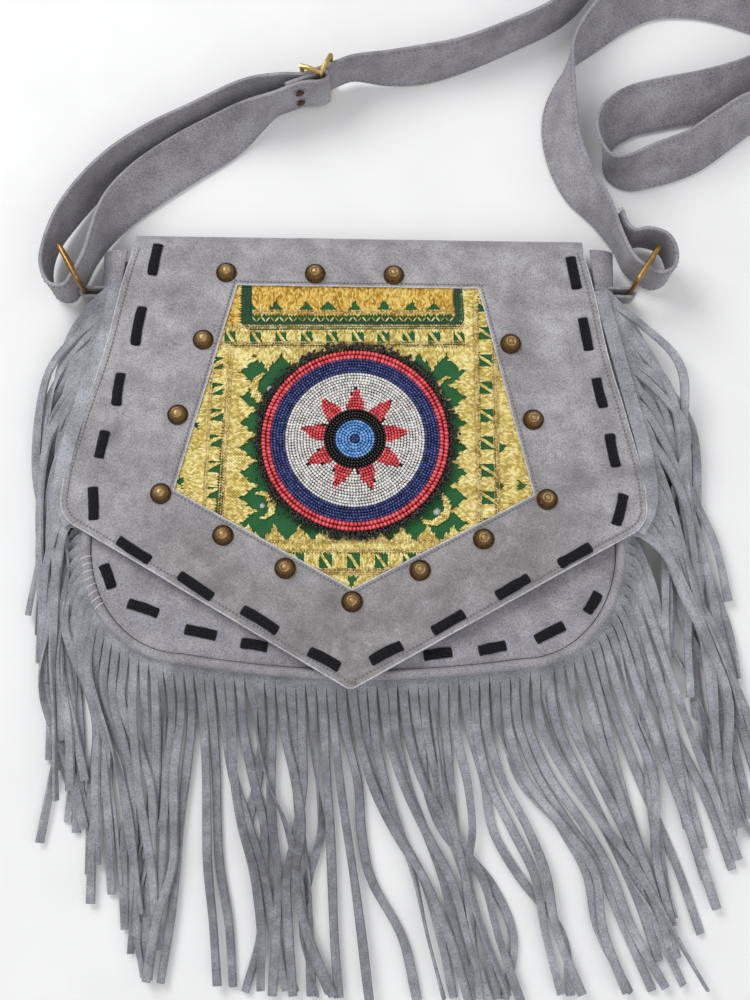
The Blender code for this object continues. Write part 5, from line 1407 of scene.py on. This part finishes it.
def make_fringe():
    """Three sewn-in strips slit into strands: the left hangs straight, the others drift to the right."""
    settings = stored("bag_fringe")
    chance = np.random.default_rng(settings.seed)
    length = settings.length
    level = body_height(BODY_BOTTOM, FRONT_DEPTH) - WELT_RADIUS - 2 * GAP
    low = np.array([p for p in body_line(0.003, 6) if p[1] < BODY_CORNER])
    fall = ((0, 0), (0.006, 0.0015), (0.012, 0.0065), (0.022, 0.0170), (0.036, 0.0245), (0.06, 0.0268))
    routes = []
    for i, x in enumerate(np.linspace(-0.100, 0.100, 39)):
        y = np.interp(x, low[:, 0], low[:, 1])
        group = sin(x * 84 + 0.6) * 0.013 + sin(x * 197 + 2.0) * 0.006
        drift = 0.185 + 1.75 * x + chance.normal(0, 0.05)
        wave, phase = chance.normal(0, 0.0036), chance.uniform(0, 6)
        layer = (i * 2 % 5) * 0.0013 + 0.001
        points = []
        for run in (0, 0.006, 0.012, 0.022, 0.036, 0.06, 0.085, 0.11, 0.14, length):
            share = run / length
            bend = ease((run - 0.008) / 0.11)
            aside = drift * run * (0.35 + 0.65 * bend) + group * bend * share * 1.3
            aside += wave * bend * sin(phase + run * 55)
            drop = np.interp(run, *zip(*fall))
            height = max(level - drop, 0.0012) + layer * ease((run - 0.012) / 0.05)
            points.append((x + aside, y - (run * 0.955 + chance.normal(0, 0.0004)), height))
        routes.append(points)
    fringe_piece("fringe_bottom_strands", routes, "fringe_bottom")

    corner = [p for p in body_line(0.003, 6) if p[1] < -0.040]
    corner_left = evenly([p for p in corner if p[0] < -0.101], STRAND_PITCH)
    band = ((-0.1330, 0.086), (-0.1385, 0.055), (-0.1480, 0.020), (-0.1545, -0.008), (-0.1565, -0.030),
            (-0.1500, -0.046))
    root_line = evenly(smooth_line(band), STRAND_PITCH)
    routes = []
    for i, (x, y) in enumerate(root_line):
        share = i / len(root_line)
        height = np.interp(y, (-0.05, 0.0, 0.086), (0.0270, 0.0262, 0.0205))
        edge = -0.1650 + 0.010 * share + chance.normal(0, 0.0045)
        tip_x = -0.170 + 0.026 * share + chance.normal(0, 0.006)
        layer = 0.0012 + (i % 6) * 0.0016
        reach = max(0.004, x - edge)
        points = [(x + 0.004, y + 0.001, height), (x - 0.002, y - 0.0005, height - 0.0006)]
        points += [(x - reach * 0.55, y - 0.012, height - 0.0035), (edge, y - 0.036, 0.010 + layer)]
        points += [(edge - 0.002 + chance.normal(0, 0.002), y - 0.085, 0.004 + layer)]
        points += [((edge + tip_x) / 2, y - 0.125, 0.0015 + layer), (tip_x, y - 0.158, 0.001 + layer * 0.7)]
        routes.append(points)
    for i, (x, y) in enumerate(corner_left):
        height = body_height(y, FRONT_DEPTH) - WELT_RADIUS - 2 * GAP
        share = i / len(corner_left)
        out = Vector((-1 + share, -0.45 - share * 0.5)).normalized()
        tip_x = -0.150 + 0.055 * share + chance.normal(0, 0.007)
        layer = 0.0010 + (i % 5) * 0.0014
        points = [(x, y, height), (x + out.x * 0.006, y + out.y * 0.006, height - 0.0015)]
        points += [(x + out.x * 0.012, y + out.y * 0.012 - 0.003, height - 0.008)]
        points += [(x + out.x * 0.015, y - 0.034, 0.008 + layer),
                   (x * 0.6 + tip_x * 0.4 + chance.normal(0, 0.003), y - 0.075, 0.001 + layer)]
        points += [(x * 0.3 + tip_x * 0.7, y - 0.115, 0.001 + layer),
                   (tip_x, y - 0.155, 0.001 + layer * 0.6)]
        routes.append(points)
    strip = [(x + 0.0012, y, np.interp(y, (-0.05, 0.0, 0.086), (0.0288, 0.0279, 0.0222))) for x,
             y in smooth_line(band)]
    fringe_piece("fringe_left_strands", routes, "fringe_left", strip)

    corner_right = evenly([p for p in corner if p[0] > 0.101], STRAND_PITCH)
    band = ((0.1335, 0.088), (0.1400, 0.062), (0.1490, 0.025), (0.1560, -0.005), (0.1580, -0.030),
            (0.1510, -0.046))
    root_line = evenly(smooth_line(band), STRAND_PITCH)
    routes = []
    for i, (x, y) in enumerate(root_line):
        share = i / len(root_line)
        height = np.interp(y, (-0.05, 0.0, 0.088), (0.0270, 0.0262, 0.0205))
        edge = 0.167 + 0.012 * share + chance.normal(0, 0.006)
        tip_x = 0.188 + 0.016 * share + chance.normal(0, 0.011)
        layer = 0.0012 + (i * 5 % 7) * 0.0015
        points = [(x - 0.004, y + 0.001, height), (x + 0.002, y - 0.0005, height - 0.0006)]
        points += [(x * 0.5 + edge * 0.5, y - 0.012, height - 0.0035), (edge, y - 0.038, 0.010 + layer)]
        points += [(edge * 0.55 + tip_x * 0.45 + chance.normal(0, 0.004), y - 0.085, 0.004 + layer)]
        points += [(edge * 0.2 + tip_x * 0.8, y - 0.125, 0.0015 + layer),
                   (tip_x, y - 0.157, 0.001 + layer * 0.7)]
        routes.append(points)
    for i, (x, y) in enumerate(corner_right):
        height = body_height(y, FRONT_DEPTH) - WELT_RADIUS - 2 * GAP
        share = i / len(corner_right)
        out = Vector((0.15 + share, -1.0 + share * 0.4)).normalized()
        tip_x = 0.162 + 0.036 * share + chance.normal(0, 0.010)
        layer = 0.0010 + (i * 3 % 5) * 0.0014
        points = [(x, y, height), (x + out.x * 0.006, y + out.y * 0.006, height - 0.0015)]
        points += [(x + out.x * 0.013, y + out.y * 0.012, height - 0.008)]
        points += [(x + out.x * 0.018 + 0.006, y - 0.036, 0.008 + layer)]
        points += [(x * 0.5 + tip_x * 0.5 + 0.004 + chance.normal(0, 0.004), y - 0.078, 0.001 + layer)]
        points += [(x * 0.2 + tip_x * 0.8, y - 0.118, 0.001 + layer),
                   (tip_x, y - 0.153, 0.001 + layer * 0.6)]
        routes.append(points)
    strip = [(x - 0.0012, y, np.interp(y, (-0.05, 0.0, 0.088), (0.0288, 0.0279, 0.0222))) for x,
             y in smooth_line(band)]
    fringe_piece("fringe_right_strands", routes, "fringe_right", strip)


def slider_point(along, aside):
    """A place beside the slider, along the band and across it."""
    return (SLIDER_PLACE[0] + along * cos(SLIDER_TURN) - aside * sin(SLIDER_TURN),
            SLIDER_PLACE[1] + along * sin(SLIDER_TURN) + aside * cos(SLIDER_TURN))


def band_layers():
    """How far the slider's middle bar, the wrapped band and the end bars lie from the band."""
    layer = STRAP_THICKNESS + GAP
    bar = -(layer + STRAP_THICKNESS / 2 + GAP + WIRE_RADIUS)
    return bar, WIRE_RADIUS + GAP + STRAP_THICKNESS / 2, STRAP_THICKNESS / 2 + GAP + WIRE_RADIUS


def strap_route():
    """(x, y, lean, lift) along the band's middle, from its riveted end to its sewn end."""
    bar, wrap, _ = band_layers()
    lift, layer = STRAP_LIFT, STRAP_THICKNESS + GAP
    route = [(*slider_point(-place * TAIL, bar + wrap), 0, lift) for place in (1.0, 0.5, 0.15)]
    for angle in np.radians((90, 45, 0, -45, -90)):
        route.append((*slider_point(0.0013 + wrap * cos(angle), bar + wrap * sin(angle)), 0, lift))
    for place, spare in ((0.15, 0.0029), (0.35, 0.0013), (0.65, 0.0001), (1.05, 0.0001), (1.4, 0.0003)):
        route.append((*slider_point(-place * TAIL, bar + wrap - layer - spare), 0, lift))
    route += [(x / 1000, y / 1000, lean, up * lift) for x, y, lean, up in STRAP_TO_RING]
    route += [(*slider_point(-2 * TAIL, 0.0065), 8, lift), (*slider_point(-TAIL, 0.0038), 2, lift)]
    route += [(*slider_point(place, 0.0), 0, lift) for place in (-SLIDER_PITCH, 0.0, SLIDER_PITCH, TAIL)]
    return route + [(x / 1000, y / 1000, lean, up * lift) for x, y, lean, up in STRAP_TO_END]


def smooth_route(route, spacing):
    """Even points along a smooth curve whose knots are spaced by the root of their distance."""
    knots = np.array(route, float)
    ends = np.vstack([2 * knots[0] - knots[1], knots, 2 * knots[-1] - knots[-2]])
    times = np.concatenate([[0], np.cumsum(np.linalg.norm(np.diff(ends[:, :2], axis=0), axis=1)**0.5)])
    fine = []
    for i in range(1, len(ends) - 2):
        p, at = ends[i - 1:i + 3], times[i - 1:i + 3]
        for t in np.linspace(at[1], at[2], 12, endpoint=False):
            first = [
                (p[k] * (at[k + 1] - t) + p[k + 1] * (t - at[k])) / (at[k + 1] - at[k]) for k in range(3)]
            second = [
                (first[k] * (at[k + 2] - t) + first[k + 1] * (t - at[k])) / (at[k + 2] - at[k])
                for k in range(2)]
            fine.append((second[0] * (at[2] - t) + second[1] * (t - at[1])) / (at[2] - at[1]))
    fine.append(knots[-1])
    fine = np.array(fine)
    run = np.concatenate([[0], np.cumsum(np.linalg.norm(np.diff(fine[:, :2], axis=0), axis=1))])
    step = np.diff(fine[:, :2], axis=0)
    heading = np.concatenate([[0], np.unwrap(np.arctan2(step[:, 1], step[:, 0]))])
    heading[0] = heading[1]
    pace = run / spacing + np.concatenate([[0], np.cumsum(np.abs(np.diff(heading)))]) / radians(12)
    at = np.interp(np.linspace(0, pace[-1], int(pace[-1]) + 1), pace, run)
    return np.stack([np.interp(at, run, fine[:, k]) for k in range(fine.shape[1])], axis=1)


def make_strap():
    """One long band on its edge, sewn down both edges, with its tabs, rings, slider and rivets."""
    line = smooth_route(strap_route(), 0.005)
    step = np.gradient(line[:, :2], axis=0)
    corners, seams = [], [[], [], [], []]
    ring = ((-1, -1), (-0.985, -1.0), (0.985, -1.0), (1, -1), (1, 1), (0.985, 1.0), (-0.985, 1.0), (-1, 1))
    for (x, y, lean, lift), (dx, dy) in zip(line, step):
        length = hypot(dx, dy)
        left = Vector((-dy / length, dx / length, 0))
        width = (left * sin(radians(lean)) + Vector((0, 0, cos(radians(lean))))) * STRAP_WIDTH / 2
        thick = (left * cos(radians(lean)) - Vector((0, 0, sin(radians(lean))))) * STRAP_THICKNESS / 2
        middle = Vector((x, y, STRAP_FLOOR + lift + abs(width.z) + abs(thick.z)))
        corners += [middle + width * a + thick * b * (0.7 if abs(a) == 1 else 1.0) for a, b in ring]
        for k, (a, b) in enumerate(((0.86, 1.02), (-0.86, 1.02), (0.86, -1.02), (-0.86, -1.02))):
            seams[k].append(middle + width * a + thick * b)
    slots = [0, 0, 0, 1, 0, 0, 0, 1] * (len(line) - 1) + [1, 1]
    mesh = mesh_of("strap_suede", corners, capped(corners, 8), slots)
    strap = put(link("strap_suede", mesh, "suede", "cut edge"), "bag", "suede", "strap")
    # The slider would rub on stitches, so the seams stop short of it
    seams = [run for seam in seams for run in clear_of(seam, SLIDER_PLACE, 0.012)]
    put(sewn("strap_sewing", seams, width=SEWING_THREAD, hole=STRAP_HOLE, pitch=0.0030), "bag", "suede")

    for side, (foot, turn) in ((-1, RING_LEFT), (1, RING_RIGHT)):
        word = "left" if side < 0 else "right"
        radius = 2.2 * WIRE_RADIUS
        low, high = RING_FLOOR + WIRE_RADIUS, RING_FLOOR + 3 * WIRE_RADIUS + RING_INNER_HEIGHT
        rim = []
        for (a, z), start in (((RING_SPAN - radius, low + radius), -90),
                              ((RING_SPAN - radius, high - radius), 0),
                              ((radius, high - radius), 90), ((radius, low + radius), 180)):
            for angle in np.radians(np.linspace(start, start + 90, 7)):
                reach, height = a + radius * cos(angle), z + radius * sin(angle)
                rim.append((foot[0] + reach * cos(turn), foot[1] + reach * sin(turn), height))
        mesh = mesh_of(f"ring_{word}_brass", *tube(rim, WIRE_RADIUS, 14, True))
        even_wear(mesh, 0.6)
        put(link(f"ring_{word}_brass", mesh, "ring brass"), f"{word}_ring", "antique_brass", f"ring_{word}")
        make_tab(f"tab_{word}_suede", foot, side, f"strap_tab_{word}")
    make_slider()


def make_tab(name, foot, side, node):
    """A folded suede loop, standing on its edge round the ring's bar, and its tongue."""
    lowest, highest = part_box(node)
    thickness = 0.0014
    radius = WIRE_RADIUS + GAP + thickness / 2
    low = RING_FLOOR + 4.4 * WIRE_RADIUS
    high = low + 0.011
    end_x = lowest.x if side > 0 else highest.x
    bend = [(foot[0] + side * radius * sin(a), foot[1] + radius * cos(a)) for a in np.linspace(0, pi, 13)]
    path = [(end_x, foot[1] + radius)] + bend + [(end_x, foot[1] - radius)]
    corners = []
    for i, (x, y) in enumerate(path):
        before, after = path[max(0, i - 1)], path[min(len(path) - 1, i + 1)]
        dx, dy = after[0] - before[0], after[1] - before[1]
        length = hypot(dx, dy)
        nx, ny = -dy / length * thickness / 2, dx / length * thickness / 2
        for share in np.linspace(0, 1, 5):
            corners.append((x - nx, y - ny, low + (high - low) * share))
        for share in np.linspace(1, 0, 5):
            corners.append((x + nx, y + ny, low + (high - low) * share))
    # The tongue that is sewn down on the gusset
    tongue = []
    for share in np.linspace(0, 1, 9):
        bow = 0.0022 * sin(share * pi)
        near, far = (0.1275 + 0.0135 * share, 0.1085), (0.1305 + 0.0105 * share, 0.0825)
        height = 0.0178 - 0.0050 * share * share + bow * 0.4
        for (x, y), thick in ((near, 0), (far, 0), (far, 0.0015), (near, 0.0015)):
            tongue.append((side * x, y + foot[1] - 0.085, height + thick))
    whole = joined([(corners, capped(corners, 10)), (tongue, capped(tongue, 4))])
    put(link(name, mesh_of(name, *whole), "suede"), "bag", "suede", node)


def make_slider():
    """A three-bar slider of brass wire, and two rivets whose oval heads lie against the band."""
    bar, wrap, end_bar = band_layers()
    low, high = RING_FLOOR + WIRE_RADIUS, RING_FLOOR + 3 * WIRE_RADIUS + RING_INNER_HEIGHT
    rim = []
    for height, order in ((low, 1), (high, -1)):
        spots = [(order * a, s) for a, s in ((-SLIDER_PITCH, end_bar), (0, bar), (SLIDER_PITCH, end_bar))]
        for share in np.linspace(0, 1, 9):
            along, aside = [np.interp(share, (0, 0.5, 1), [s[k] for s in spots]) for k in (0, 1)]
            rim.append((*slider_point(along, aside), height))
    parts = [tube(rim, WIRE_RADIUS, 12, True)]
    parts.append(tube([(*slider_point(0, bar), z) for z in np.linspace(low, high, 6)], WIRE_RADIUS * 0.98,
                      12))
    mesh = mesh_of("slider_brass", *joined(parts))
    even_wear(mesh, 0.7)
    put(link("slider_brass", mesh, "pale brass"), "slider", "pale_brass", "strap_slider")

    middle = STRAP_FLOOR + STRAP_LIFT + STRAP_WIDTH / 2
    aside = bar + wrap - (STRAP_THICKNESS + GAP) / 2
    half = STRAP_THICKNESS + GAP / 2 + GAP
    for name, height in (("upper", middle + 0.006), ("lower", middle - 0.006)):
        profile = [(0.0001, -half - 0.0020), (0.0018, -half - 0.0019), (0.0025, -half - 0.0014),
                   (0.0026, -half - 0.0012),
                   (0.0011, -half - 0.0012), (0.0011, half), (0.0026, half), (0.0025, half + 0.0003),
                   (0.0018, half + 0.0007), (0.0001, half + 0.0008)]
        points, sides = [], 20
        for radius, depth in profile:
            for a in np.linspace(0, 2 * pi, sides + 1)[:-1]:
                points.append((*slider_point(-0.0135 + radius * cos(a), aside + depth),
                               height + radius * sin(a)))
        mesh = mesh_of(f"rivet_{name}_brass", points, skin(len(profile), sides))
        put(link(f"rivet_{name}_brass", mesh, "brass"), "bag", "antique_brass", f"strap_rivet_{name}")


def make_stage():
    """Pale floor, soft lamps, and a camera that looks down at the photograph's angle."""
    scene = bpy.context.scene
    scene.view_settings.view_transform = "Standard"
    eye, right, up, forward = camera_axes()
    camera = bpy.data.objects.new("camera", bpy.data.cameras.new("camera"))
    camera.data.lens = CAMERA_LENS
    camera.data.sensor_fit = "VERTICAL"
    camera.data.sensor_height = SENSOR
    place = Matrix((right, up, -forward)).transposed().to_4x4()
    place.translation = eye
    camera.matrix_world = place
    scene.collection.objects.link(camera)
    scene.camera = camera

    made, tree, shader = start_material("matt painted floor", Roughness=0.9)
    ground = add_node(tree, "ShaderNodeTexCoord").outputs["Object"]
    mottle = add_node(tree, "ShaderNodeTexNoise", {"Vector": ground, "Scale": 1 / 0.05}).outputs["Fac"]
    paint = add_node(tree, "ShaderNodeValToRGB", {"Fac": mottle}, ((0.3, "#EFEFEF"), (0.7, "#F4F4F4")))
    tree.links.new(paint.outputs["Color"], shader.inputs["Base Color"])
    side = 4.0
    mesh = bpy.data.meshes.new("floor")
    mesh.from_pydata([(-side, -side, 0), (side, -side, 0), (side, side, 0), (-side, side, 0)], [],
                     [(0, 1, 2, 3)])
    floor = bpy.data.objects.new("floor", mesh)
    mesh.materials.append(made)
    scene.collection.objects.link(floor)

    for name, energy, size, spot in (("key", 13.0, 0.8, (-0.75, 0.75, 1.15)),
                                     ("fill", 3.6, 1.4, (0.9, -0.2, 1.2)),
                                     ("top", 5.5, 1.2, (0.1, -0.9, 1.3))):
        lamp = bpy.data.lights.new(name, "AREA")
        lamp.energy = energy
        lamp.size = size
        lit = bpy.data.objects.new(name, lamp)
        lit.location = spot
        lit.rotation_euler = (Vector((0, 0, 0)) - Vector(spot)).to_track_quat("-Z", "Y").to_euler()
        scene.collection.objects.link(lit)
    world = bpy.data.worlds.new("studio")
    scene.world = world
    world.use_nodes = True
    world.node_tree.nodes["Background"].inputs["Color"].default_value = linear("#F2F3F5")
    world.node_tree.nodes["Background"].inputs["Strength"].default_value = 0.48


class BAG_OT_stage(bpy.types.Operator):
    """Camera, floor and lamps"""
    bl_idname = "bag.stage"
    bl_label = "Stage"

    def execute(self, context):
        make_stage()
        return {"FINISHED"}


class BAG_OT_strap(bpy.types.Operator):
    """Shoulder strap, rings, tabs, slider and rivets"""
    bl_idname = "bag.strap"
    bl_label = "Strap and hardware"

    def execute(self, context):
        make_strap()
        return {"FINISHED"}


class BAG_OT_body(bpy.types.Operator):
    """Back, front, gusset, welt, lining and snap"""
    bl_idname = "bag.body"
    bl_label = "Body"

    def execute(self, context):
        make_body()
        return {"FINISHED"}


class BAG_OT_fringe(bpy.types.Operator):
    """The three slit fringes"""
    bl_idname = "bag.fringe"
    bl_label = "Fringe"

    def execute(self, context):
        make_fringe()
        return {"FINISHED"}


class BAG_OT_flap(bpy.types.Operator):
    """Flap leather, lining, sewing and lace"""
    bl_idname = "bag.flap"
    bl_label = "Flap"

    def execute(self, context):
        make_flap()
        return {"FINISHED"}


class BAG_OT_studs(bpy.types.Operator):
    """Cone studs round the window"""
    bl_idname = "bag.studs"
    bl_label = "Studs"

    def execute(self, context):
        make_studs()
        return {"FINISHED"}


class BAG_OT_embroidery(bpy.types.Operator):
    """Gilt embroidery behind the window"""
    bl_idname = "bag.embroidery"
    bl_label = "Embroidery"

    def execute(self, context):
        make_embroidery()
        return {"FINISHED"}


class BAG_OT_rosette(bpy.types.Operator):
    """Beaded rosette on the embroidery"""
    bl_idname = "bag.rosette"
    bl_label = "Beaded rosette"

    def execute(self, context):
        make_rosette()
        return {"FINISHED"}


OPERATORS = (BAG_OT_stage, BAG_OT_strap, BAG_OT_body, BAG_OT_fringe, BAG_OT_flap, BAG_OT_studs,
             BAG_OT_embroidery,
             BAG_OT_rosette)
SETTINGS = (("bag_flap", FlapSettings), ("bag_beads", BeadSettings), ("bag_embroidery", EmbroiderySettings),
            ("bag_fringe", FringeSettings))


class BAG_PT_panel(bpy.types.Panel):
    bl_label = "Fringe bag"
    bl_idname = "BAG_PT_panel"
    bl_space_type = "VIEW_3D"
    bl_region_type = "UI"
    bl_category = "Fringe bag"

    def draw(self, context):
        for name, kind in SETTINGS:
            box = self.layout.box()
            for key in kind.__annotations__:
                box.prop(getattr(context.scene, name), key)
        for operator in OPERATORS:
            self.layout.operator(operator.bl_idname)


def register():
    for name, kind in SETTINGS:
        bpy.utils.register_class(kind)
        setattr(bpy.types.Scene, name, bpy.props.PointerProperty(type=kind))
    for each in (*OPERATORS, BAG_PT_panel):
        bpy.utils.register_class(each)


def unregister():
    for each in reversed((*OPERATORS, BAG_PT_panel)):
        bpy.utils.unregister_class(each)
    for name, kind in reversed(SETTINGS):
        delattr(bpy.types.Scene, name)
        bpy.utils.unregister_class(kind)


def main():
    register()
    for operator in OPERATORS:
        group, name = operator.bl_idname.split(".")
        getattr(getattr(bpy.ops, group), name)()


if __name__ == "__main__":
    main()
